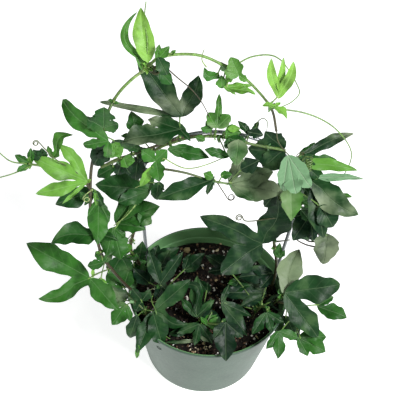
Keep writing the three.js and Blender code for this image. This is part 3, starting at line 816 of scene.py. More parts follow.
def random_turns(random, count):
    """Turns in all directions: the rotation matrices of random unit quaternions."""
    w, x, y, z = unit(random.normal(size=(count, 4))).T
    rows = [
        [1 - 2 * (y * y + z * z), 2 * (x * y - z * w), 2 * (x * z + y * w)],
        [2 * (x * y + z * w), 1 - 2 * (x * x + z * z), 2 * (y * z - x * w)],
        [2 * (x * z - y * w), 2 * (y * z + x * w), 1 - 2 * (x * x + y * y)],
    ]
    return np.array(rows).transpose(2, 0, 1)


def scatter(name, material, count, sizes, stretch, seed, placed=(), shades=(0, 1)):
    """
    Grains on the mix: corner * size * stretch, with a random push on each corner, turned, and
    set at a random place on the disc, or at a place that is given with its size. Flat grains
    lie down: the upright part of their turn is made less.
    """
    random = np.random.default_rng(seed)
    corners, faces = icosahedron()
    distance = (inner_radius(SOIL_TOP) - WALL_CLEAR) * np.sqrt(random.uniform(0, 1, count))
    angle = random.uniform(0, 2 * np.pi, count)
    middle = np.stack([distance * np.cos(angle), distance * np.sin(angle)], 1)
    size = random.uniform(*sizes, count)
    if len(placed):
        middle = np.vstack([middle, [p[:2] for p in placed]])
        size = np.append(size, [p[2] for p in placed])
    total = len(size)
    push = random.uniform(*PUSH, (total, len(corners), 1))
    grains = corners * push * size[:, None, None] * np.array(stretch)
    turns = random_turns(random, total)  # Drawn for round grains too, which keeps later draws.
    if min(stretch) < FLAT_GRAIN:
        turns = np.linalg.qr(unit(turns * np.array([1, 1, LYING_DOWN])[:, None]))[0]
    else:
        turns = random_turns(random, total)
    turns = turns * np.sign(np.linalg.det(turns))[:, None, None]
    grains = np.einsum("nij,nkj->nki", turns, grains)
    low = grains[..., 2].min(1)
    height = soil_height(middle[:, 0], middle[:, 1]) - low * (1 - SUNK) - size * SUNK
    grains = grains + np.concatenate([middle, height[:, None]], 1)[:, None]
    every = (faces[None] + len(corners) * np.arange(total)[:, None, None]).reshape(-1, 3)
    shade = np.repeat(random.uniform(*shades, total), len(corners))
    pile = Pile()
    pile.add(grains, every, shade=shade)
    pile.piece(name, material, "potting_mix", smooth=False)


perlite = Finish("perlite")
pores = perlite.noise(1500, 2)
perlite_white = perlite.mix(perlite.own("shade"), (0.62, 0.60, 0.52), (0.90, 0.89, 0.84))
perlite.set({"Base Color": perlite.mix(pores * 0.3, perlite_white, (0.35, 0.32, 0.27))})
perlite.set({"Roughness": 0.9})
perlite.bump(pores, 0.0004)


def chip_finish(name, scale, detail, streak, streak_color, roughness, *stops):
    """Wood whose colour goes by the grain's shade, with streaks that are darker and raised."""
    finish = Finish(name)
    streaks = finish.noise(scale, detail)
    color = finish.ramp(finish.own("shade"), *stops)
    finish.set({"Base Color": finish.mix(streaks * streak, color, streak_color)})
    finish.set({"Roughness": streaks * 0.2 + roughness})
    finish.bump(streaks, 0.0006)
    return finish.material


bark_chip = chip_finish(
    "bark_chip", 700, 4, 0.5, (0.03, 0.016, 0.010), 0.65,
    (0.0, (0.014, 0.008, 0.005)),
    (0.45, (0.030, 0.016, 0.009)),
    (0.7, (0.075, 0.036, 0.018)),
    (0.88, (0.14, 0.080, 0.045)),
    (0.95, (0.30, 0.18, 0.09)),
    (1.0, (0.50, 0.42, 0.27)),
)
pale_chip = chip_finish(
    "pale_chip", 500, 3, 0.45, (0.20, 0.12, 0.05), 0.6,
    (0.0, (0.26, 0.11, 0.035)),
    (0.3, (0.42, 0.27, 0.12)),
    (0.6, (0.66, 0.52, 0.28)),
    (1.0, (0.84, 0.76, 0.52)),
)

PERLITE_PLACES = [
    (2, 60, 2.0), (13, 55, 2.2), (-8, 41, 1.8), (2, 17, 1.8), (6, 15, 1.8), (2, 5, 1.8),
    (50, -44, 1.8),
]
PALE_PLACES = [
    (-26, 58, 6.2), (-24, 39, 3.8), (-9, 64, 2.6), (6, 62, 3.4), (1, -55, 2.8), (7, -59, 2.6),
    (-6, -64, 2.4), (53, -41, 2.8), (8, 25, 2.4), (-12, -62, 2.0), (4, -62, 2.2), (9, 72, 2.4),
]
ORANGE_PLACES = [(35, -43, 5.8), (40, -4, 3.6), (-17, 47, 2.4), (20, -55, 2.2)]
scatter("perlite_grains", perlite.material, 180, (0.5, 1.6), (1, 0.9, 0.85), 11, PERLITE_PLACES)
scatter("peat_crumbs", bark_chip, 900, (0.7, 2.2), (1, 0.8, 0.7), 12)
scatter("bark_chips", bark_chip, 260, (1.5, 4.0), (1, 0.5, 0.22), 13)
scatter("pale_chips", pale_chip, 26, (0.8, 1.9), (1, 0.6, 0.4), 14, PALE_PLACES, (0.5, 1))
scatter("orange_chips", pale_chip, 8, (1.0, 2.2), (1, 0.5, 0.3), 15, ORANGE_PLACES, (0, 0.2))

# %% [markdown]
# ## Leaf shape
#
# A passion flower leaf has two to four long lobes that meet at the end of its stalk. Each lobe
# is a strip along its own midrib, so its surface is easy to state: how far along, how far
# across, and how high above the leaf's plane. Two neighbouring lobes share a seam, which lies on
# the line that halves the angle between them and ends at the notch. Because both lobes use the
# same points there, the strips join without a gap.
#
# Four numbers change a lobe's outline: `roundness` gives a long point or a blunt end, `ovate`
# puts the widest place nearer the base, `notch` says how deep the leaf is cut between lobes, and
# `wavy` how strongly the edge wavers. A leaf of one lobe has no plane of its own, so it faces
# `UPWARD`, towards the light, unless its row says otherwise.

# %% Leaf outline
OUTLINE = {"notch": 0.3, "roundness": 0.85, "ovate": 1, "wavy": 1}
UPWARD = (0, -0.65, 0.75)
FIRST_ROW = 0.22
LOBE_BASE = 0.04
SEAM_LIMIT = 0.9


def lobe_outline(q, lobe):
    """
    Half-width of a lobe against its widest, from its base at 0 to its tip at 1: half a sine wave
    to the power "roundness". A power of 1 has a long point, and 0.5 a blunt end. Where "ovate"
    is under 1, the wave is pressed towards the base, so the lobe is widest there.
    """
    arch = np.sin(np.pi * np.minimum(1, LOBE_BASE + (1 - LOBE_BASE) * q ** lobe["ovate"]))
    return np.where(arch > 1e-6, arch, 0) ** lobe["roundness"]


def leaf_frame(base, tips, wide, face=UPWARD, **outline):
    """
    The leaf's plane and its lobes. The normal is the sum of the cross products of neighbouring
    arms; a leaf with one lobe is told which way it faces. Each lobe has a direction along it and
    one across it in the plane, its length, its width, and how far its tip rises off the plane.
    """
    origin = np.array(base, float)
    arms = [np.array(tip[:3], float) - origin for tip in tips]
    if len(arms) > 1:
        pairs = zip(arms, arms[1:])
        normal = unit(sum(np.cross(unit(a), unit(b)) for a, b in pairs))
    else:
        arm = unit(arms[0])
        normal = unit(np.array(face, float) - arm * np.dot(face, arm))
    lobes = []
    for arm, tip in zip(arms, tips):
        rise = arm @ normal
        flat = arm - rise * normal
        along = unit(flat)
        widen, sway = (*tip[3:], *(1, 0)[len(tip) - 3 :])
        lobes.append(
            {
                **OUTLINE,
                **outline,
                "along": along,
                "across": np.cross(normal, along),
                "length": float(np.linalg.norm(flat)),
                "rise": rise,
                "wide": wide * widen,
                "sway": sway,
            }
        )
    return origin, normal, lobes


def notches_of(lobes):
    """
    Where each pair of neighbours parts: how far along and how far aside of either midrib. It
    goes by a mean of both lengths that leans to the shorter, and stays within the narrower lobe.
    """
    found = []
    for first, second in zip(lobes, lobes[1:]):
        half = math.acos(np.clip(first["along"] @ second["along"], -1, 1)) / 2
        short, long = sorted([first["length"], second["length"]])
        mean = 0.7 * short + 0.3 * long
        widest = mean * min(first["wide"], second["wide"])
        reach = min(first["notch"] * mean, SEAM_LIMIT * widest / math.sin(half))
        found.append((reach * math.cos(half), reach * math.sin(half)))
    return found


# %% [markdown]
# ## Leaf surface
#
# The blade is creased along its midribs, arches towards the tips and ripples along its margins.
# Each leaf gets its own ripple and twist from a seeded random generator, so no two are alike and
# each run gives the same plant. A blade is a closed skin 0.6 mm thick, thinner at the margin.

# %% Leaf surface
BLADE = 0.6
MARGIN_THINNING = 0.45
SEAM_ROWS = 4
TIP_ROWS = 18
HALF_COLUMNS = 5
ROW_SPREAD = 0.9
SHOULDER_ROUNDING = 0.6
SHOULDER_BLEND = 0.3
WAVER = 0.11
CREASE_ROUNDING = 0.4
TIP_RISE = 1.6
BOW_PEAK = 27 / 4
RIPPLE = 0.045
TWIST = 0.22
RIM_VALUES = {"across": 1, "along": 0.5, "aside": 5}


def lobe_edge(lobe, notch, shared, rows, waver):
    """
    One edge of a lobe from the leaf's base to the lobe's tip: straight to the notch where a
    neighbour shares it, or a rounded shoulder where none does, and then the outline. The edge
    wavers a little on its way, by a sine that fades at both ends.
    """
    seam, tip = rows
    length = lobe["length"]
    shoulder = seam if shared else seam**SHOULDER_ROUNDING
    outline = lobe_outline(FIRST_ROW + (1 - FIRST_ROW) * tip, lobe)
    full = lobe["wide"] * length * outline
    blend = smooth(tip / SHOULDER_BLEND)
    beyond = notch[1] * (1 - blend) + full * blend
    waves = np.sin(waver + 9 * tip) + 0.5 * np.sin(2 * waver + 19 * tip)
    beyond = beyond * (1 + WAVER * lobe["wavy"] * waves * np.sin(np.pi * tip))
    x = np.concatenate([notch[0] * seam, notch[0] + (length - notch[0]) * tip])
    return x, np.concatenate([notch[1] * shoulder, beyond])


def lobe_grid(lobe, notches, number, random, fine):
    """
    A grid over a lobe in the leaf's plane: x along it and y across it. On the grid v runs from
    -1 at one margin to 1 at the other, and t from 0 at the notch to 1 at the tip. The last two
    numbers are the rows in which each margin begins to be free of its neighbour.
    """
    length, wide = lobe["length"], lobe["wide"]
    shoulder = (FIRST_ROW * length, wide * length * lobe_outline(FIRST_ROW, lobe))
    shared = (number > 0, number < len(notches))
    corners = [notches[number - 1] if shared[0] else shoulder]
    corners.append(notches[number] if shared[1] else shoulder)
    seam_rows, tip_rows = max(2, int(SEAM_ROWS * fine)), int(TIP_ROWS * fine)
    rows = np.linspace(0, 1, seam_rows + 1), np.linspace(0, 1, tip_rows + 1)[1:] ** ROW_SPREAD
    edges = [lobe_edge(lobe, c, s, rows, random.uniform(0, 6)) for c, s in zip(corners, shared)]
    (right_x, right_y), (left_x, left_y) = [[e[:, None] for e in edge] for edge in edges]
    half = max(2, int(HALF_COLUMNS * fine))
    v = np.linspace(-1, 1, 2 * half + 1)
    middle = (right_x + left_x) / 2
    x = middle + np.where(v < 0, right_x - middle, left_x - middle) * abs(v)
    y = np.where(v < 0, right_y, left_y) * v
    start = max(corners[0][0], corners[1][0])
    t = np.clip((x - start) / (length - start), 0, 1)
    return x, y, v, t, [seam_rows * is_shared for is_shared in shared]


def lobe_height(lobe, y, v, t, fold, bow, random):
    """
    How high a lobe stands over the leaf's plane: rise * t^1.6 + fold * |y| + bow + ripple +
    twist * y * t^2. The bow is bow * length * 27/4 * t^2 * (1 - t), which has its top at "bow"
    times the length. The ripple is a sine along the margin that fades to the midrib.
    """
    length = lobe["length"]
    ripple = RIPPLE * length * v**2 * np.sin(np.pi * t)
    ripple = ripple * np.sin(random.uniform(0, 6) + random.uniform(7, 12) * t + 1.5 * np.sign(v))
    height = lobe["rise"] * t**TIP_RISE
    height = height + fold * (np.hypot(y, CREASE_ROUNDING) - CREASE_ROUNDING)
    height = height + bow * length * BOW_PEAK * t**2 * (1 - t)
    return height + ripple + random.uniform(-TWIST, TWIST) * y * t**2


def add_lobe(pile, frame_of_leaf, number, fold, bow, random, values, fine=1.0):
    """
    A lobe as a closed blade. Its upper face is base + x * along + (y + sway) * across + height *
    normal. Its lower face is the upper one moved back by the blade's thickness, which is less
    near the margin, and a narrow rim joins the two along each free margin.
    """
    origin, normal, lobes = frame_of_leaf
    lobe = lobes[number]
    x, y, v, t, free_from = lobe_grid(lobe, notches_of(lobes), number, random, fine)
    height = lobe_height(lobe, y, v, t, fold, bow, random)
    aside = y + 4 * lobe["sway"] * t * (1 - t)
    upper = origin + x[..., None] * lobe["along"] + aside[..., None] * lobe["across"]
    upper = upper + height[..., None] * normal
    depth = BLADE * (1 - MARGIN_THINNING * v**4 * smooth(4 * t))
    lower = upper - depth[..., None] * normal
    faces = grid_triangles(*x.shape)
    over = {**values, "under": 1 - values["under"]}
    where = {"across": abs(v) + 0 * x, "along": x / lobe["length"], "aside": abs(y)}
    pile.add(upper, faces[:, ::-1], **values, **where)
    pile.add(lower, faces, **over, **where)
    for column, first in zip((0, -1), free_from):
        rim = np.stack([upper[first:, column], lower[first:, column]])
        rim_faces = grid_triangles(*rim.shape[:2])
        if column == 0:
            rim_faces = rim_faces[:, ::-1]
        pile.add(rim, rim_faces, **values, **RIM_VALUES)


# %% [markdown]
# ## Leaf finish
#
# Old leaves are a deep green with a waxy, slightly blue sheen; new ones are yellow-green. One
# material makes them all: `tone` picks the green, and its darkest greens, given mostly to the low
# leaves in the pot, are partly the leaves' own colour and partly painted shade. `across`, `along`
# and `aside` say where a point lies on its lobe. A midrib is where `aside`, in millimetres, is
# small. Side veins leave it at a slant, so they are lines of equal `along - slant * across`. The
# underside is paler and duller, with stronger veins. Slow noise makes lighter and darker clouds in
# the green, and a per-leaf value lets grey beige patches through it on old leaves: partly real
# wear, and partly painted sheen where the wax catches the light.

# %% Leaf finish
VEIN_PAIRS = 7.0
VEIN_SLANT = 0.2

blade = Finish("leaf_blade")
tone, across, along = blade.own("tone"), blade.own("across"), blade.own("along")
aside, under, worn = blade.own("aside"), blade.own("under"), blade.own("worn")
cloud = blade.noise(60, 3)
patch = blade.noise(22, 1)
grain = blade.noise(600, 3)
row = (along - across * VEIN_SLANT) * VEIN_PAIRS + cloud * 0.5
gap = row.math("PINGPONG", row, 0.5)
side_vein = 1 - blade.step(gap, 0.0, 0.10)
side_vein = side_vein * (1 - blade.step(across, 0.55, 0.95))
midrib = 1 - blade.step(aside, 0.25, 0.75)
vein = midrib.math("MAXIMUM", midrib, side_vein * 0.3)
# The darkest greens, given mostly to the low leaves in the pot, are partly painted shade.
green = blade.ramp(
    tone,
    (0.0, (0.004, 0.022, 0.009)),
    (0.2, (0.013, 0.070, 0.012)),
    (0.45, (0.037, 0.160, 0.017)),
    (0.75, (0.17, 0.40, 0.055)),
    (1.0, (0.28, 0.54, 0.085)),
)
deeper = blade.mix(0.75, green, (0.002, 0.014, 0.003))
lighter = blade.mix(0.45, green, (0.12, 0.23, 0.08))
upper_green = blade.mix(blade.step(cloud, 0.55, 0.3) * 0.75, green, deeper)
upper_green = blade.mix(blade.step(cloud, 0.5, 0.72) * 0.7, upper_green, lighter)
vein_green = blade.mix(0.2, green, (0.38, 0.56, 0.30))
upper_green = blade.mix(vein * 0.55, upper_green, vein_green)
# Grey beige: partly real wear, partly painted sheen where the waxy blade catches the light.
beige_wear_and_sheen = blade.step(patch + cloud * 0.4 + worn * 0.35, 0.86, 1.1)
upper_green = blade.mix(beige_wear_and_sheen * 0.65, upper_green, (0.26, 0.315, 0.19))
lower_green = blade.mix(0.6, green, (0.24, 0.42, 0.24))
lower_green = blade.mix(vein * 0.4, lower_green, (0.34, 0.46, 0.30))
blade.set({"Base Color": blade.mix(under, upper_green, lower_green)})
blade.set({"Roughness": grain * 0.14 + cloud * 0.1 + under * 0.15 + 0.32})
blade.set({"Specular IOR Level": 0.2})
puff = blade.step(gap, 0.0, 0.4) * (1 - blade.step(across, 0.6, 1.0))
groove = midrib * (1 - tone) * 0.4
blade.bump(cloud * 0.8 + puff * 0.04 - groove + grain * 0.08, 0.0015)
print("leaf finish:", len(blade.tree.nodes), "nodes")

# %% [markdown]
# ## Stem finish
#
# The lower stems are turning woody and reddish brown; the young ends, the leaf stalks and the
# tendrils are green. `tone` runs along each tube from 0 for wood to 1 for a fresh tip, and fine
# ridges of noise catch the light.

# %% Stem finish
bark = Finish("stem_skin")
stem_tone = bark.own("tone")
ridges = bark.noise(500, 3)
stem_color = bark.ramp(
    stem_tone,
    (0.0, (0.045, 0.028, 0.018)),
    (0.25, (0.075, 0.070, 0.028)),
    (0.5, (0.10, 0.17, 0.04)),
    (0.85, (0.20, 0.38, 0.08)),
    (1.0, (0.52, 0.60, 0.26)),
)
stem_dark = bark.mix(0.5, stem_color, (0.02, 0.022, 0.010))
bark.set({"Base Color": bark.mix(bark.step(ridges, 0.35, 0.65), stem_dark, stem_color)})
bark.set({"Roughness": ridges * 0.2 + 0.38})
bark.bump(ridges, 0.0004)
print("stem finish:", len(bark.tree.nodes), "nodes")

# %% [markdown]
# ## Growing a vine
#
# A vine is stems, leaves and tendrils, all in millimetres. A leaf names its stem and the place
# on it, so its stalk can be drawn from there to its blade. Where a stalk leaves, the stem swells
# and bears two small stipules and a bud. Tendrils are thin tubes, and many end in a coil: a
# helix that starts in the direction in which the tendril was going.

# %% Growing a vine
LEAF_FOLD = 0.25
LEAF_BOW = 0.07
STEM_STEP = 1.8
STEM_SIDES = 12
STEM_TAPER = (1.2, 0.8)
NODE_SWELL = 0.35
NODE_REACH = 2.2
NEARBY = 0.05
STALK_RADIUS = 0.8
STALK_ROWS = 13
STALK_SIDES = 7
STALK_IN_BLADE = 2.5
STALK_HUMP = 0.12
STIPULE_LENGTH = (4.5, 7)
STIPULE_WIDTH = 0.34
STIPULE_LIE = {"fold": 0.3, "bow": 0.1, "fine": 0.3}
BUD_LENGTH = 3.5
BUD_RADIUS = 0.95
TENDRIL_RADIUS = 0.55
TENDRIL_STEP = 1.6
TENDRIL_SIDES = 6
TENDRIL_END = 0.55
COIL_STEPS = 18


def stem(radius, points, tone=(0.1, 0.6)):
    """A stem's facts: its radius, the places that it passes, and its tones from foot to tip."""
    return {"radius": radius, "points": points, "tone": tone}


def leaf(
    host, at, base, wide, tips, tone,
    worn=0, under=0, fold=LEAF_FOLD, bow=LEAF_BOW, node=1, stalk=1, **outline
):
    """
    A leaf's facts: its host stem, where on it, where the blade starts, its width against its
    length, its tips and its tone. "node" and "stalk" are 0 where a leaf has none. The grey beige
    patch value stands for wear and for painted sheen. What else a row names is for the outline.
    """
    return {
        "host": host, "at": at, "node": node, "stalk": stalk,
        "shape": leaf_frame(base, tips, wide, **outline),
        "values": {"under": under, "tone": tone, "worn": worn},
        "lie": {"fold": fold, "bow": bow},
    }


def tendril(points, radius=TENDRIL_RADIUS, tone=0.8, coil=None):
    """A tendril's facts. A coil is its axis, its first radius, its turns and its pitch."""
    return {"points": points, "radius": radius, "tone": tone, "coil": coil}


def coil_from(end, forward, axis, radius, turns, pitch):
    """
    A helix that goes on from a place and a direction: middle + r * (cos a * out + sin a *
    onward) + axis * pitch * a / 2 pi, with a radius r that shrinks to half.
    """
    axis = unit(axis)
    onward = unit(forward - axis * (forward @ axis))
    out = np.cross(onward, axis)
    turn = np.linspace(0, 2 * np.pi * turns, max(4, int(COIL_STEPS * turns)))[1:, None]
    size = radius * (1 - 0.5 * turn / turn[-1])
    middle = end - radius * out
    circle = np.cos(turn) * out + np.sin(turn) * onward
    return middle + size * circle + axis * pitch * turn / (2 * np.pi)


def add_tendril(pile, facts):
    """A thin tube through its points, and on into its coil, thinner towards its end."""
    path = smooth_line(facts["points"], TENDRIL_STEP)
    flat = None
    if facts["coil"]:
        axis, radius, turns, pitch = facts["coil"]
        forward = unit(path[-1] - path[-3])
        path = np.vstack([path, coil_from(path[-1], forward, axis, radius, turns, pitch)])
        flat = unit(axis) + 0.001
    taper = np.linspace(1, TENDRIL_END, len(path)) * facts["radius"]
    add_tube(pile, path, taper, TENDRIL_SIDES, flat=flat, tone=facts["tone"])


def stem_point(points, at):
    """Where on its stem a leaf's stalk starts, and the stem's direction there."""
    before, place, after = line_through(points, np.array([at - NEARBY, at, at + NEARBY]))
    return place, unit(after - before)


def add_stalk(pile, start, frame_of_leaf, tone):
    """
    A stalk as a quadratic curve from the stem, up and over into the blade. It is thickest at
    both ends and its last ring is drawn in, so that it ends inside the blade.
    """
    origin, normal, lobes = frame_of_leaf
    end = origin + lobes[len(lobes) // 2]["along"] * STALK_IN_BLADE - normal * BLADE / 2
    middle = (start + end) / 2 + np.array([0, 0, STALK_HUMP * np.linalg.norm(end - start)])
    t = np.linspace(0, 1, STALK_ROWS)[:, None]
    path = (1 - t) ** 2 * start + 2 * t * (1 - t) * middle + t**2 * end
    swell = STALK_RADIUS * (0.72 + 0.5 * (t[:, 0] ** 6) + 0.35 * (1 - t[:, 0]) ** 8)
    swell[-1] *= 0.4
    tones = np.linspace(0.5, 0.75, STALK_ROWS) + 0.25 * tone
    add_tube(pile, path, swell, STALK_SIDES, tone=tones)


def add_node(leaves, stems, place, forward, toward, tone, random):
    """Two stipules beside a stalk's foot, and a bud above it."""
    aside = unit(np.cross(forward, toward))
    values = {"under": 0, "tone": min(1, tone + 0.25), "worn": 0}
    for way in (-1, 1):
        arm = way * aside + 0.35 * toward + random.uniform(0.1, 0.6) * forward
        tip = tuple(place + unit(arm) * random.uniform(*STIPULE_LENGTH))
        shape = leaf_frame(place, [tip], STIPULE_WIDTH, face=forward + 0.4 * toward)
        add_lobe(leaves, shape, 0, random=random, values=values, **STIPULE_LIE)
    t = np.linspace(0, 1, 7)[:, None]
    bud = place + unit(toward + forward) * (0.5 + BUD_LENGTH * t)
    swell = BUD_RADIUS * np.sin(np.pi * (0.15 + 0.85 * t[:, 0])) + 0.05
    add_tube(stems, bud, swell, STALK_SIDES, tone=0.9)


def add_stem(pile, points, radius, tone, joints):
    """A tapered tube through the stem's points, thicker at each joint where a leaf leaves it."""
    path = smooth_line(points, STEM_STEP)
    share = np.linspace(0, 1, len(path))
    spread = np.linalg.norm(path[:, None] - line_through(points, joints), axis=2).min(1)
    taper = np.linspace(*STEM_TAPER, len(path))
    taper = taper + NODE_SWELL * np.exp(-((spread / NODE_REACH) ** 2))
    tones = np.interp(share, np.linspace(0, 1, len(tone)), tone)
    add_tube(pile, path, radius * taper, STEM_SIDES, tone=tones)


def grow(name, slot, seed, stems, leaves, tendrils=()):
    """Makes a vine's two pieces, its stems and its leaves, which stand for its CAD node."""
    random = np.random.default_rng(seed)
    wood, blades = Pile(), Pile()
    for stem_name, facts in stems.items():
        joints = [row["at"] for row in leaves if row["host"] == stem_name]
        add_stem(wood, **facts, joints=joints)
    for facts in leaves:
        shape, values, host = facts["shape"], facts["values"], stems[facts["host"]]
        place, forward = stem_point(host["points"], facts["at"])
        toward = unit(shape[0] - place)
        toward = unit(toward - forward * (toward @ forward))
        if facts["stalk"]:
            add_stalk(wood, place, shape, values["tone"])
        if facts["node"]:
            skin = place + toward * host["radius"] * 0.8
            add_node(blades, wood, skin, forward, toward, values["tone"], random)
        for number in range(len(shape[2])):
            add_lobe(blades, shape, number, random=random, values=values, **facts["lie"])
    for facts in tendrils:
        add_tendril(wood, facts)
    wood.piece(name + "_stems", bark.material, slot, [name])
    blades.piece(name + "_leaves", blade.material, slot, [name])


# %% [markdown]
# ## The tall arching vine
#
# The oldest stem leaves the mix at the left, climbs outside the wire, bows over at 388 mm and
# comes down again at the right. The youngest leaves stand at its top, narrow, yellow-green and
# still folded along the midrib. A side shoot carries a pale leaf like an open hand, and long
# tendrils reach out to find a hold.
#
# Leaves could be scattered along a stem by chance, but then none would be where it grew. So each
# vine is a table, with one row to a leaf: its stem, how far along, where the blade starts, its
# width against its length, the tip of each lobe with the lobe's own width and sideways bend, and
# its tone. One row can be set right without moving another.

# %% The tall arching vine
ARCH_STEMS = {
    "arch": stem(
        1.35,
        [
            (-63, -10, 64), (-66, -12, 90), (-82, -16, 118), (-102, -16, 156), (-108, -14, 180),
            (-113, -12, 213), (-113, -10, 245), (-111, -5, 276), (-96, 2, 335), (-89, 5, 350),
            (-79, 8, 363), (-68, 10, 374), (-59, 12, 384), (-46, 14, 388), (-26, 16, 388),
            (-8, 16, 381), (9, 16, 371), (32, 18, 344), (38, 18, 333), (43, 14, 316),
        ],
        tone=(0.05, 0.1, 0.12, 0.15, 0.2, 0.3, 0.9, 0.85, 0.75, 0.1),
    ),
    "shoot": stem(
        1.2,
        [
            (-113, -10, 247), (-122, -12, 268), (-134, -16, 280), (-148, -20, 282),
            (-155, -22, 284), (-162, -26, 289),
        ],
    ),
}
ARCH_LEAVES = [
    leaf(
        "arch", 2.6, (-115, -22, 130), 0.185,
        [(-180, 0, 147, 1, 0), (-163, -41, 114, 0.78, 5), (-85, -46, 116, 1.35)], 0.4,
    ),
    leaf(
        "arch", 4.9, (-106, -8, 231), 0.24,
        [(-95, -20, 216, 0.8), (-104, -34, 199), (-115, -18, 219, 0.8)], 0.4, under=1,
    ),
    leaf(
        "arch", 4.6, (-106, -20, 198), 0.25,
        [(-86, -24, 195, 0.8), (-115, 4, 206, 0.8), (-148, -31, 189, 1.05, -3.8)], 0.25, ovate=0.8,
    ),
    leaf(
        "arch", 3.4, (-101, -20, 155), 0.3, [(-94, -12, 162), (-110, -13, 162), (-117, -21, 148)],
        0.3, worn=0.4,
    ),
    leaf(
        "arch", 5.9, (-109, -4, 239), 0.2,
        [(-144, -16, 228, 1.15), (-118, -15, 229, 0.8), (-101, -14, 229)], 0.15,
    ),
    leaf(
        "arch", 7.6, (-95, -14, 313), 0.16,
        [(-137, 12, 330, 1, 0.5), (-116, -16, 308, 1.2), (-96, -16, 295, 1.3)], 0.42,
        roundness=0.35, notch=0.2, wavy=1.3,
    ),
    leaf(
        "arch", 8.4, (-99, -12, 326), 0.46, [(-87, -12, 332), (-99, -8, 345), (-112, -12, 334)],
        0.22, roundness=0.6, notch=0.6,
    ),
    leaf(
        "arch", 11, (-66, 8, 382), 0.185, [(-76, 42, 409, 1, 1)], 0.9, fold=0.35, ovate=0.74,
        wavy=0.3,
    ),
    leaf("arch", 11.2, (-59, 6, 387), 0.25, [(-50, 14, 396), (-58, 14, 397, 0.8)], 0.5),
    leaf("arch", 11.2, (-60, 14, 372), 0.27, [(-47, 14, 357)], 0.25),
    leaf(
        "arch", 15.6, (6, 6, 380), 0.4, [(13, 4, 377, 0.9), (-2, 14, 391), (-6, 6, 383, 0.9)], 0.55,
        roundness=0.7,
    ),
    leaf("arch", 15, (-9, 10, 372), 0.3, [(-22, 13, 379, 1, 4)], 0.42),
    leaf(
        "arch", 15.4, (-5, 6, 367), 0.19, [(5, 0, 365, 0.7), (21, 6, 362, 0.8), (17, 12, 365, 0.7)],
        0.7,
    ),
    leaf(
        "arch", 17.3, (41, 20, 347), 0.13,
        [(49, 32, 378, 1.1, -2), (41, 37, 377, 0.75), (31, 32, 379, 0.95, 2)], 0.9, fold=0.4,
        notch=0.12, roundness=0.7, wavy=0.2,
    ),
    leaf("arch", 17.2, (38, 12, 346), 0.34, [(49, 4, 341), (43, 18, 345, 0.6), (28, 12, 345)], 0.8),
    leaf(
        "shoot", 0.4, (-112, -26, 274), 0.15,
        [
            (-139, -5, 294, 1, -3), (-160, -16, 287, 1.05), (-155, -36, 263, 0.9),
            (-132, -40, 258, 0.42),
        ],
        0.7, fold=0.22, notch=0.2, roundness=0.72,
    ),
    leaf(
        "shoot", 2.4, (-144, -12, 284), 0.25, [(-127, 0, 302, 0.85, 7), (-149, -3, 289, 0.8)], 0.5,
    ),
    leaf(
        "shoot", 4.8, (-159, -26, 289), 0.22,
        [(-160, -17, 299), (-173, -22, 294), (-170, -32, 285)], 0.4,
    ),
    leaf("shoot", 3.4, (-151, -18, 287), 0.4, [(-151, -16, 299), (-158, -18, 298)], 0.12, node=0),
    leaf("arch", 11.3, (-58, 4, 392), 0.33, [(-50, 2, 377)], 0.12, node=0),
    leaf("arch", 12, (-49, 13, 388), 0.25, [(-45, 14, 393)], 0.55, node=0),
    leaf("arch", 15.3, (-4, 8, 372), 0.42, [(2, 8, 378)], 0.6, node=0),
    leaf("arch", 7.5, (-94, 0, 299), 0.25, [(-88, 2, 285), (-74, 4, 293)], 0.12, node=0),
    leaf(
        "arch", 7.4, (-92, -8, 305), 0.4, [(-93, -14, 293), (-86, -12, 293), (-86, -8, 301)], 0.55,
    ),
    leaf("arch", 7.3, (-97, -6, 303), 0.28, [(-109, -10, 278), (-101, -10, 282)], 0.05, node=0),
    leaf("arch", 2.6, (-113, -18, 125), 0.13, [(-113, -12, 138)], 0.95, node=0),
    leaf("arch", 2.9, (-108, -14, 121), 0.2, [(-99, -18, 118)], 0.75, node=0),
    leaf("arch", 5.2, (-107, -12, 225), 0.11, [(-109, -8, 245)], 0.6, node=0, stalk=0),
    leaf("arch", 5.6, (-114, -16, 238), 0.3, [(-121, -16, 248)], 0.3, node=0),
    leaf(
        "arch", 10.9, (-71, 8, 374), 0.09, [(-78, 36, 409, 1, 11.5)], 0.5, fold=0.3, bow=0.02,
        ovate=0.5, roundness=0.5, node=0, stalk=0, wavy=0.5,
    ),
    leaf("arch", 15.2, (-6, 8, 363), 0.38, [(-8, 10, 375)], 0.5, node=0),
]
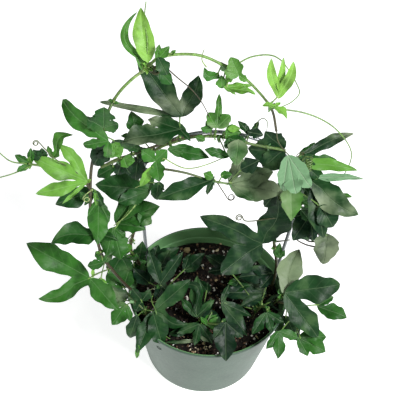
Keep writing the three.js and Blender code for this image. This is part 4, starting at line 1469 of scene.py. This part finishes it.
ARCH_TENDRILS = [
    tendril([(-67, 9, 379), (-68, 20, 394), (-72, 33, 406), (-72, 42, 415)], radius=0.75),
    tendril([(-162, -28, 291), (-176, -26, 290), (-190, -20, 296), (-204, -18, 298)], radius=0.7),
    tendril([(-158, -28, 289), (-176, -32, 280), (-192, -36, 276), (-204, -36, 272)], radius=0.7),
    tendril(
        [
            (33, 18, 341), (47, 20, 336), (61, 22, 333), (75, 22, 329), (89, 22, 321),
            (101, 22, 309), (111, 26, 290), (114, 30, 274), (113, 32, 259), (112, 34, 250),
        ],
        radius=0.8,
    ),
    tendril(
        [
            (-3, 16, 376), (4, 22, 378), (15, 30, 380), (30, 38, 377), (39, 42, 370), (48, 46, 356),
            (55, 44, 346), (59, 38, 340), (53, 28, 338), (44, 20, 338),
        ],
        radius=0.75,
    ),
    tendril(
        [(-122, -16, 273), (-138, -22, 293), (-147, -22, 305), (-152, -22, 313)], tone=0.4,
        coil=((0.3, -0.9, 0.3), 2.4, 2, 1),
    ),
    tendril(
        [(-106, -3, 296), (-106, 0, 305), (-108, 0, 313), (-112, 2, 321)], radius=0.65, tone=0.5,
        coil=((0.2, -0.9, 0.4), 3.2, 2.5, 1.5),
    ),
    tendril(
        [(-64, 10, 381), (-65, 11, 372), (-62, 11, 369)], radius=0.7, tone=0.3,
        coil=((0.3, -0.8, 0.5), 3.6, 2.5, 1.5),
    ),
    tendril(
        [
            (-58, 12, 384), (-51, 12, 375), (-42, 14, 364), (-32, 18, 351), (-23, 20, 337),
            (-16, 20, 323), (-11, 20, 309),
        ],
        radius=0.6, tone=0.15,
    ),
    tendril(
        [(43, 14, 317), (46, 14, 304), (56, 14, 290), (65, 16, 282)], tone=0.3,
        coil=((0.2, -0.9, 0.3), 4.5, 2, 1),
    ),
    tendril([(-20, 12, 380), (-24, 14, 385), (-24, 16, 390), (-23, 18, 393)], tone=0.9),
    tendril(
        [(-113, -10, 246), (-111, -14, 250), (-114, -18, 250), (-117, -20, 247)], tone=0.95,
        coil=((0.2, -0.9, 0.3), 3, 1.6, 2),
    ),
]
grow("vine_arch", "leaf_green", 1, ARCH_STEMS, ARCH_LEAVES, ARCH_TENDRILS)

# %% [markdown]
# ## The vine on the left of the hoop
#
# One stem, `leader`, winds up the left leg and along the top of the wire. `band` is a thinner
# stem that lies across it, and `cross` hangs free through the opening. The leaves here are the
# oldest and darkest, and on some a grey beige shows through the green: partly wear, and partly
# painted sheen where the waxy blade catches the light.

# %% The vine on the left of the hoop
LEFT_STEMS = {
    "leader": stem(
        1.4,
        [
            (-61, 14, 64), (-64, 15, 90), (-72, 10, 121), (-80, 12, 137), (-77, 18, 163),
            (-75, 21, 194), (-75, 22, 225), (-72, 21, 250), (-64, 21, 266), (-51, 21, 279),
            (-30, 25, 287), (-9, 26, 291), (7, 26, 290), (23, 26, 286), (39, 27, 283),
            (55, 28, 280),
        ],
    ),
    "band": stem(
        1.2,
        [
            (-105, 2, 263), (-89, 8, 270), (-72, 14, 275), (-51, 20, 283), (-33, 25, 288),
            (-19, 27, 290),
        ],
        tone=(0.45, 0.42, 0.3, 0.1, 0.15, 0.25),
    ),
    "cross": stem(
        1.1,
        [(-75, 22, 235), (-63, 12, 256), (-51, 8, 262), (-31, 8, 260), (-7, 9, 252), (8, 10, 249)],
    ),
}
LEFT_LEAVES = [
    leaf("leader", 3.4, (-78, 8, 116), 0.26, [(-68, -1, 102), (-56, 1, 112), (-64, 16, 116)], 0.25),
    leaf(
        "leader", 5.2, (-94, -2, 187), 0.34, [(-82, -10, 183), (-84, -27, 171), (-98, -25, 172)],
        0.35, under=1,
    ),
    leaf(
        "leader", 5.2, (-84, 40, 196), 0.24, [(-72, 54, 190), (-92, 62, 200), (-106, 50, 188)], 0.1,
    ),
    leaf("leader", 4.8, (-93, 2, 188), 0.26, [(-64, 0, 186), (-53, 16, 202), (-76, 30, 196)], 0.3),
    leaf(
        "leader", 5.8, (-62, 14, 226), 0.25, [(-68, 26, 243), (-113, 15, 225), (-90, 0, 220)], 0.2,
    ),
    leaf(
        "leader", 8.2, (-77, 30, 277), 0.34,
        [(-66, 41, 276, 0.8), (-84, 46, 292), (-91, 28, 278, 0.6)], 0.3,
    ),
    leaf(
        "leader", 9.2, (-38, 14, 307), 0.21, [(-67, 24, 305), (-86, 0, 298, 1.15), (-28, 4, 304)],
        0.12, worn=0.62, notch=0.5, roundness=0.9, ovate=0.85,
    ),
    leaf(
        "leader", 9.6, (-38, 24, 312), 0.17, [(-27, 52, 336, 1.35, -2.5), (-81, 60, 343, 1.05, 0)],
        0.08, ovate=0.85, fold=0.35, worn=0.5, wavy=0.6,
    ),
    leaf(
        "leader", 9.2, (-48, 12, 284), 0.17,
        [(-31, 8, 278, 0.8), (-11, 12, 278), (-25, 18, 283, 0.8)], 0.3,
    ),
    leaf(
        "leader", 11, (-7, 16, 311), 0.3,
        [(3, 24, 320, 1.2), (-8, 38, 330, 0.36), (-16, 22, 322, 1.2)], 0.5, notch=0.45,
        roundness=0.7, worn=0.6,
    ),
    leaf("leader", 11.4, (1, 18, 303), 0.3, [(5, 18, 295), (14, 20, 305), (6, 28, 306)], 0.5),
    leaf(
        "leader", 11.8, (12, 10, 306), 0.38, [(12, -2, 286)], 0.3, worn=1.2, ovate=0.6,
        roundness=0.75,
    ),
    leaf("leader", 11.2, (6, 6, 288), 0.2, [(-16, 9, 291)], 0.3),
    leaf("leader", 12.6, (23, 18, 304), 0.19, [(30, 20, 304), (28, 30, 310), (10, 28, 310)], 0.2),
    leaf("leader", 14, (54, 30, 279), 0.4, [(35, 34, 295), (22, 31, 275), (37, 24, 260)], 0.05),
    leaf(
        "cross", 1.2, (-57, 4, 276), 0.38,
        [(-52, -10, 265), (-48, 10, 285, 1.1), (-70, 8, 284, 1.1)], 0.45,
    ),
    leaf("cross", 4, (-5, 8, 256), 0.17, [(-13, 17, 254), (-54, -6, 237), (-10, 3, 239)], 0.1),
    leaf(
        "cross", 5, (9, 10, 249), 0.24,
        [(32, -4, 245, 0.8), (58, 8, 246), (47, 20, 260, 1), (19, 30, 263, 1.05)], 0.2, worn=0.85,
    ),
    leaf("leader", 10.8, (-16, 14, 297), 0.34, [(-25, 14, 300)], 0.5, node=0),
    leaf("cross", 4, (-6, 8, 257), 0.4, [(-15, 8, 262)], 0.5, node=0),
    leaf("cross", 4.4, (0, 12, 257), 0.35, [(10, 10, 262)], 0.45, face=(0, -0.7, 0.7), node=0),
    leaf("leader", 3, (-80, 10, 138), 0.4, [(-86, 8, 148), (-89, 6, 139)], 0.4, node=0),
    leaf("leader", 2.6, (-77, 6, 128), 0.3, [(-73, 4, 142), (-84, 2, 143)], 0.35),
    leaf("leader", 2, (-72, 14, 119), 0.25, [(-69, 18, 145), (-77, 16, 134)], 0.1, node=0),
    leaf("leader", 9.4, (-33, 24, 296), 0.2, [(-59, 28, 303)], 0.1, node=0),
    leaf(
        "leader", 9.6, (-38, 24, 312), 0.042, [(-111, 40, 305)], 0.12, node=0, stalk=0,
        roundness=0.5, worn=0.45,
    ),
    leaf(
        "leader", 11.6, (4, 12, 304), 0.32, [(2, 8, 295), (9, 6, 294), (19, 14, 301)], 0.25, node=0,
    ),
    leaf("cross", 1.4, (-59, 0, 273), 0.17, [(-69, -6, 252)], 0.72, node=0),
    leaf("band", 0.6, (-93, 6, 262), 0.26, [(-109, 4, 248)], 0.2, node=0),
    leaf("band", 0.8, (-87, 8, 267), 0.36, [(-91, 6, 251), (-79, 6, 254)], 0.05),
    leaf("band", 1, (-85, 4, 276), 0.5, [(-81, 0, 268), (-75, 2, 275)], 0.5),
    leaf("band", 1.8, (-63, 16, 274), 0.34, [(-78, 14, 276), (-73, 12, 263)], 0.05, node=0),
    leaf("band", 1.6, (-71, 13, 278), 0.22, [(-88, 8, 292)], 0.15),
    leaf("leader", 6, (-55, 14, 238), 0.34, [(-55, 8, 220), (-49, 10, 232)], 0.15, node=0),
    leaf("leader", 2, (-88, 2, 137), 0.4, [(-97, -4, 119), (-78, -3, 122)], 0.18, node=0),
    leaf("leader", 10.9, (-11, 18, 306), 0.32, [(-17, 20, 314), (-21, 16, 309)], 0.4, node=0),
    leaf("leader", 11.4, (2, 20, 307), 0.3, [(13, 20, 309)], 0.75, node=0),
    leaf("leader", 12.8, (19, 18, 308), 0.3, [(33, 18, 306)], 0.02, node=0),
    leaf("band", 1.8, (-74, 16, 267), 0.34, [(-75, 8, 244)], 0.05, node=0),
    leaf("leader", 2.4, (-80, 4, 145), 0.42, [(-86, 4, 157)], 0.5, node=0),
    leaf("cross", 5.2, (17, 6, 273), 0.36, [(32, 8, 285)], 0.03),
    leaf("leader", 4.8, (-72, 6, 201), 0.4, [(-59, 2, 192)], 0.3, node=0),
]
LEFT_TENDRILS = [
    tendril(
        [
            (-57, 8, 262), (-50, 4, 280), (-48, 4, 279), (-39, 4, 273), (-31, 6, 268),
            (-22, 8, 268), (-10, 12, 271), (3, 16, 277),
        ],
        radius=0.75, tone=0.9,
    ),
    tendril(
        [(-8, 9, 252), (-4, 10, 251), (3, 10, 240), (9, 8, 231)], tone=0.2,
        coil=((0.2, -0.9, 0.4), 3.5, 1.7, 1),
    ),
    tendril(
        [(26, 24, 305), (27, 26, 313), (31, 28, 316), (35, 28, 313), (36, 28, 301)], radius=0.5,
        tone=0.5,
    ),
    tendril(
        [(-74, 20, 205), (-69, 18, 214), (-75, 10, 208), (-83, 4, 198), (-94, -2, 189)], radius=0.8,
        tone=0.9,
    ),
    tendril(
        [(-51, 8, 262), (-53, 4, 270), (-60, 4, 256), (-68, 6, 242), (-75, 8, 234)], radius=0.6,
        tone=0.95,
    ),
    tendril(
        [(-76, 19, 176), (-70, 22, 163), (-77, 16, 160), (-82, 12, 155)], tone=0.5,
        coil=((0.1, -0.8, 0.5), 3, 1.2, 1),
    ),
]
grow("vine_hoop_left", "leaf_dark", 2, LEFT_STEMS, LEFT_LEAVES, LEFT_TENDRILS)

# %% [markdown]
# ## The vine on the right of the hoop
#
# This stem follows the right leg and ends in a cluster of hanging leaves. Some show the
# underside, which is paler and matt with a stronger midrib, so `under` names them. Brown tendrils
# from an older year cling round the wire.

# %% The vine on the right of the hoop
RIGHT_STEMS = {
    "leader": stem(
        1.5,
        [
            (62, 14, 64), (64, 16, 90), (66, 19, 123), (59, 19, 162), (54, 19, 198), (55, 18, 227),
            (57, 16, 261), (58, 14, 284),
        ],
    ),
}
RIGHT_LEAVES = [
    leaf(
        "leader", 3.2, (47, 6, 174), 0.2,
        [(54, 12, 233, 1.4, -5), (-15, 24, 184, 0.8, -3), (10, -23, 160, 1.55)], 0.05,
        roundness=0.72,
    ),
    leaf("leader", 4.8, (86, 8, 222), 0.3, [(70, 5, 218), (72, -12, 205), (90, -13, 208)], 0),
    leaf("leader", 5.4, (70, 42, 246), 0.22, [(98, 39, 236), (106, 52, 250), (84, 62, 260)], 0.3),
    leaf(
        "leader", 4.2, (106, 10, 194), 0.4, [(105, -10, 172)], 0, worn=0.75, ovate=0.6,
        roundness=0.6,
    ),
    leaf(
        "leader", 5.9, (80, 8, 265), 0.225, [(125, -9, 246, 1, -3.5)], 0.14, worn=0.75, ovate=0.85,
    ),
    leaf(
        "leader", 6.2, (64, 10, 254), 0.33, [(67, -12, 232)], 0.5, worn=0.4, ovate=0.6,
        roundness=0.9, fold=0.5,
    ),
    leaf(
        "leader", 6.6, (55, 2, 301), 0.23,
        [(55, -14, 273, 0.85), (65, -22, 280), (78, -12, 279, 0.95)], 0.3, bow=0.14, under=1,
        notch=0.62, roundness=0.6,
    ),
    leaf("leader", 6.7, (70, 14, 282), 0.115, [(119, 14, 278, 1, 1)], 0.6, worn=0.3, ovate=0.7),
    leaf("leader", 6.8, (68, 18, 286), 0.1, [(113, 40, 297, 1, 2)], 0.05, worn=0.95),
    leaf("leader", 4.7, (77, 10, 218), 0.22, [(89, 6, 186), (93, 8, 209)], 0.1),
    leaf("leader", 6.4, (109, 6, 255), 0.2, [(118, 4, 254)], 0.5, node=0),
    leaf("leader", 5.6, (76, 8, 238), 0.3, [(86, 4, 235), (90, 6, 250)], 0.4, node=0),
    leaf("leader", 5.2, (76, 6, 228), 0.3, [(86, 2, 219), (92, 6, 234)], 0.15, node=0),
    leaf("leader", 2.8, (65, 4, 157), 0.2, [(69, 4, 170), (63, 6, 178), (58, 6, 166)], 0.3),
    leaf("leader", 5.9, (82, 6, 261), 0.2, [(97, -22, 225)], 0.03, node=0, stalk=0),
    leaf("leader", 6, (84, 10, 269), 0.085, [(127, 14, 268, 1, 1)], 0.3, under=1, ovate=0.6),
    leaf("leader", 6.7, (68, 14, 283), 0.3, [(86, 8, 270), (79, 20, 286)], 0.12, node=0, stalk=0),
    leaf("leader", 5.2, (79, 14, 239), 0.3, [(75, 8, 232), (86, 12, 232)], 0.5),
    leaf("leader", 4.9, (86, 16, 212), 0.3, [(82, 10, 201), (90, 8, 202)], 0.42),
    leaf("leader", 4.8, (82, 14, 202), 0.25, [(87, 8, 192)], 0.7, node=0),
    leaf("leader", 5.4, (91, 16, 223), 0.22, [(80, 12, 219)], 0.6, node=0),
    leaf("leader", 5.6, (72, 10, 258), 0.4, [(81, 8, 247)], 0.1, node=0),
    leaf("leader", 4.2, (52, 12, 242), 0.3, [(43, 8, 225)], 0.02, node=0),
    leaf("leader", 5.6, (90, -8, 253), 0.4, [(104, -16, 234)], 0.05, node=0),
]
RIGHT_TENDRILS = [
    tendril(
        [(54, 19, 200), (62, 14, 207), (46, 12, 203), (34, 10, 201), (27, 8, 203), (24, 8, 209)],
        radius=0.8, tone=0.3, coil=((0.2, -0.9, 0.3), 3.2, 1.5, 1),
    ),
    tendril([(59, 19, 162), (75, 24, 162), (65, 20, 164), (53, 16, 167)], radius=0.6, tone=0.3),
    tendril(
        [
            (85, 13.6, 201), (88, 12, 196), (99, 12, 180), (92, 12, 177), (85, 12, 181),
            (79, 12, 186),
        ],
        radius=1.15, tone=0.02,
    ),
    tendril(
        [
            (88, 13.2, 200), (93, 14, 195), (101, 14, 181), (100, 12, 171), (91, 12, 171),
            (81, 12, 176), (76, 10, 184),
        ],
        radius=1.1, tone=0.05,
    ),
    tendril([(78, 18, 237), (76, 16, 225), (83, 14, 217), (82, 12, 202)], radius=0.6, tone=0.9),
    tendril(
        [(69, 14, 281), (71, 10, 293), (75, 8, 295)], radius=0.75, tone=0.62,
        coil=((0.15, -0.3, -0.95), 3.2, 4.5, 2.6),
    ),
]
grow("vine_hoop_right", "leaf_dark", 3, RIGHT_STEMS, RIGHT_LEAVES, RIGHT_TENDRILS)

# %% [markdown]
# ## The shoot over the rim at the left
#
# A low shoot leans over the rim. Its big front leaf has three lobes, and one of them bends right
# down over the pot's wall.

# %% The shoot over the rim at the left
RIM_LEFT_STEMS = {
    "main": stem(
        1.3, [(-54, -34, 64), (-56, -36, 88), (-60, -38, 108), (-70, -32, 114), (-80, -22, 112)],
    ),
}
RIM_LEFT_LEAVES = [
    leaf(
        "main", 3.6, (-84, -14, 108), 0.42, [(-79, 0, 122), (-98, 2, 124), (-102, -15, 103)], 0.28,
    ),
    leaf(
        "main", 3, (-78, -34, 110), 0.26,
        [(-72, -46, 97, 0.8), (-90, -52, 98, 1.3), (-92, -33, 104, 0.8)], 0.38, under=1,
    ),
    leaf(
        "main", 2, (-50, -44, 117), 0.19,
        [(-62, -80, 97), (-16, -50, 111, 0.8, -5), (-18, -19, 140)], 0.12,
    ),
    leaf("main", 2.6, (-79, -28, 108), 0.36, [(-93, -26, 126), (-92, -30, 107)], 0.15, node=0),
    leaf(
        "main", 1.6, (-63, -34, 118), 0.36, [(-56, -28, 130), (-73, -30, 132), (-69, -38, 105)],
        0.08,
    ),
    leaf("main", 2, (-65, -54, 122), 0.22, [(-71, -62, 94)], 0.06, node=0),
    leaf("main", 2, (-49, -52, 112), 0.22, [(-47, -60, 95)], 0.4, worn=2.2, node=0, stalk=0),
    leaf("main", 2, (-50, -50, 121), 0.3, [(-39, -66, 95)], 0.1, node=0, stalk=0),
    leaf("main", 2, (-61, -75, 103.5), 0.16, [(-62, -82, 90.5)], 0.5, node=0, stalk=0),
]
grow("shoot_rim_left", "leaf_green", 4, RIM_LEFT_STEMS, RIM_LEFT_LEAVES)

# %% [markdown]
# ## The low shoot at the back left
#
# Low shoots fill the pot with dark, overlapping leaves, whose darkest tones are partly painted
# shade for the shade of the canopy above them. They are made in the same way as the tall vines,
# from shorter tables.

# %% The low shoot at the back left
BACK_STEMS = {
    "main": stem(1.2, [(-40, -4, 64), (-42, -6, 90), (-46, -14, 110), (-48, -18, 126)]),
}
BACK_LEAVES = [
    leaf(
        "main", 3, (-47, -20, 129), 0.19,
        [(-14, -41, 110, 0.55, 24), (-28, 5, 151, 0.8), (-61, 3, 151)], 0.05,
    ),
    leaf("main", 1.8, (-58, 10, 117), 0.26, [(-38, 9, 117), (-33, 26, 130), (-54, 29, 128)], 0.05),
    leaf("main", 1.6, (-26, 6, 120), 0.24, [(-10, 9, 126), (-7, 19, 134), (-21, 19, 131)], 0.05),
    leaf("main", 2.2, (-58, -6, 108), 0.3, [(-57, 4, 131), (-75, -2, 126)], 0),
    leaf("main", 2.6, (-50, -30, 116), 0.3, [(-35, -24, 123), (-42, -16, 128)], 0, node=0),
    leaf("main", 1.4, (-50, 6, 120), 0.3, [(-34, 6, 129), (-41, 16, 138)], 0.02, node=0),
]
BACK_TENDRILS = [
    tendril(
        [
            (-44, -10, 103), (-65, -10, 92), (-57, -14, 109), (-50, -14, 114), (-47, -14, 100),
            (-53, -14, 89), (-61, -14, 91),
        ],
        radius=0.7, tone=1,
    ),
    tendril(
        [
            (-46, -14, 112), (-54, -30, 118), (-48, -46, 120), (-44, -54, 111), (-38, -60, 102),
            (-32, -60, 96),
        ],
        radius=0.55, tone=0.85,
    ),
]
grow("shoot_back_left", "leaf_dark", 5, BACK_STEMS, BACK_LEAVES, BACK_TENDRILS)

# %% [markdown]
# ## The front shoot
#
# This shoot leans forwards. Its largest leaf has three lobes and hangs over the rim, and a tuft
# of new leaves opens at its middle.

# %% The front shoot
FRONT_STEMS = {
    "main": stem(
        1.2, [(-4, -34, 64), (-4, -37, 88), (-3, -42, 104), (6, -50, 114), (16, -55, 123)],
    ),
}
FRONT_LEAVES = [
    leaf("main", 1.8, (-9, -40, 108), 0.16, [(7, -25, 119), (-12, -8, 132), (-26, -24, 116)], 0.15),
    leaf("main", 4, (19, -56, 128), 0.27, [(9, -68, 114), (23, -85, 106), (37, -64, 118)], 0),
    leaf(
        "main", 2.4, (-3, -46, 108), 0.2, [(11, -38, 114), (12, -46, 106), (4, -52, 104)], 0.4,
        under=1,
    ),
    leaf(
        "main", 2.2, (-5, -50, 112), 0.2, [(9, -66, 104), (-8, -66, 98), (-26, -58, 104)], 0.1,
        under=1,
    ),
    leaf("main", 2, (-1, -58, 96), 0.055, [(-38, -62, 92)], 0.08, worn=0.3),
    leaf("main", 1.6, (0, -10, 109), 0.3, [(-1, -6, 120), (-10, -4, 122)], 0.05, node=0),
    leaf("main", 1, (0, -22, 90), 0.25, [(4, -14, 106), (-7, -16, 104)], 0.05, node=0),
    leaf(
        "main", 2.9, (3, -50, 110), 0.2, [(11, -55, 113), (12, -43, 117), (-5, -47, 120)], 0.42,
        node=0,
    ),
    leaf("main", 1.8, (-14, -50, 100), 0.2, [(-34, -52, 92)], 0.05, node=0),
    leaf("main", 2.6, (5, -36, 117), 0.3, [(-2, -44, 101), (12, -46, 96)], 0, node=0),
    leaf("main", 2.2, (-9, -48, 106), 0.28, [(9, -62, 101)], 0.22, worn=0.9, node=0, stalk=0),
]
grow("shoot_front", "leaf_dark", 6, FRONT_STEMS, FRONT_LEAVES)

# %% [markdown]
# ## The middle shoot
#
# The leaves of this shoot lie low and flat over the mix, dark against dark, so the pale midribs
# are what tells them apart. Their dark tones are partly painted shade, under the leaves above.

# %% The middle shoot
MIDDLE_STEMS = {
    "main": stem(1.3, [(46, -16, 64), (48, -18, 90), (54, -20, 108), (60, -28, 118)]),
}
MIDDLE_LEAVES = [
    leaf("main", 1.9, (58, -8, 115), 0.18, [(29, 3, 119), (12, -11, 111), (33, -23, 108)], 0),
    leaf(
        "main", 1.4, (14, -24, 115), 0.17, [(42, -48, 96), (45, -30, 104, 0.8), (20, -8, 123)],
        0.05,
    ),
    leaf("main", 1.8, (62, 4, 132), 0.24, [(39, 6, 135), (29, -2, 128), (50, -12, 126)], 0),
    leaf("main", 1.6, (18, 5, 131), 0.24, [(6, 16, 139), (-6, 10, 142), (-2, -3, 133)], 0),
    leaf("main", 3, (58, -36, 122), 0.2, [(46, -53, 107), (65, -51, 110), (76, -42, 116)], 0.15),
    leaf("main", 1.4, (24, -8, 114), 0.24, [(41, -5, 121), (32, 2, 119)], 0.1, node=0),
    leaf("main", 1.8, (43, 6, 118), 0.22, [(19, 0, 113)], 0.3, face=(0, -0.5, 0.9), node=0),
    leaf(
        "main", 1.6, (63, -16, 115), 0.3, [(74, -10, 119), (58, -22, 97), (76, -22, 105)], 0,
        node=0,
    ),
]
grow("shoot_middle", "leaf_dark", 7, MIDDLE_STEMS, MIDDLE_LEAVES)

# %% [markdown]
# ## The shoot over the rim at the right
#
# The last shoot carries the broad three-lobed leaf beside the right leg, with one pale lobe that
# stands up, and a side stem of young leaves over the rim. The pale lobe's grey beige is partly
# wear and partly painted sheen.

# %% The shoot over the rim at the right
RIM_RIGHT_STEMS = {
    "main": stem(1.4, [(62, -6, 64), (64, -8, 90), (68, -14, 112), (72, -21, 132)]),
    "side": stem(1.1, [(67, -12, 108), (78, -24, 120), (86, -36, 119), (90, -46, 110)]),
}
RIM_RIGHT_LEAVES = [
    leaf(
        "main", 3, (73, -24, 140), 0.21, [(109, -52, 112, 1.0), (126, -11, 145, 1.15)], 0.1,
        roundness=0.65,
    ),
    leaf("side", 1.4, (107, -22, 121), 0.27, [(137, -29, 116), (123, -11, 124, 0.75)], 0.3),
    leaf("side", 3, (91, -50, 105), 0.28, [(102, -63, 94), (119, -58, 97), (119, -44, 102)], 0.34),
    leaf("side", 1.9, (70, -60, 128), 0.22, [(59, -76, 120), (71, -82, 114), (89, -60, 119)], 0.32),
    leaf("main", 3, (73, -24, 136), 0.25, [(84, 16, 159, 1, 3)], 0.22, worn=1.4),
    leaf("side", 1, (78, -20, 96), 0.3, [(72, -30, 79), (96, -40, 84)], 0.08, node=0),
]
grow("shoot_rim_right", "leaf_dark", 8, RIM_RIGHT_STEMS, RIM_RIGHT_LEAVES)
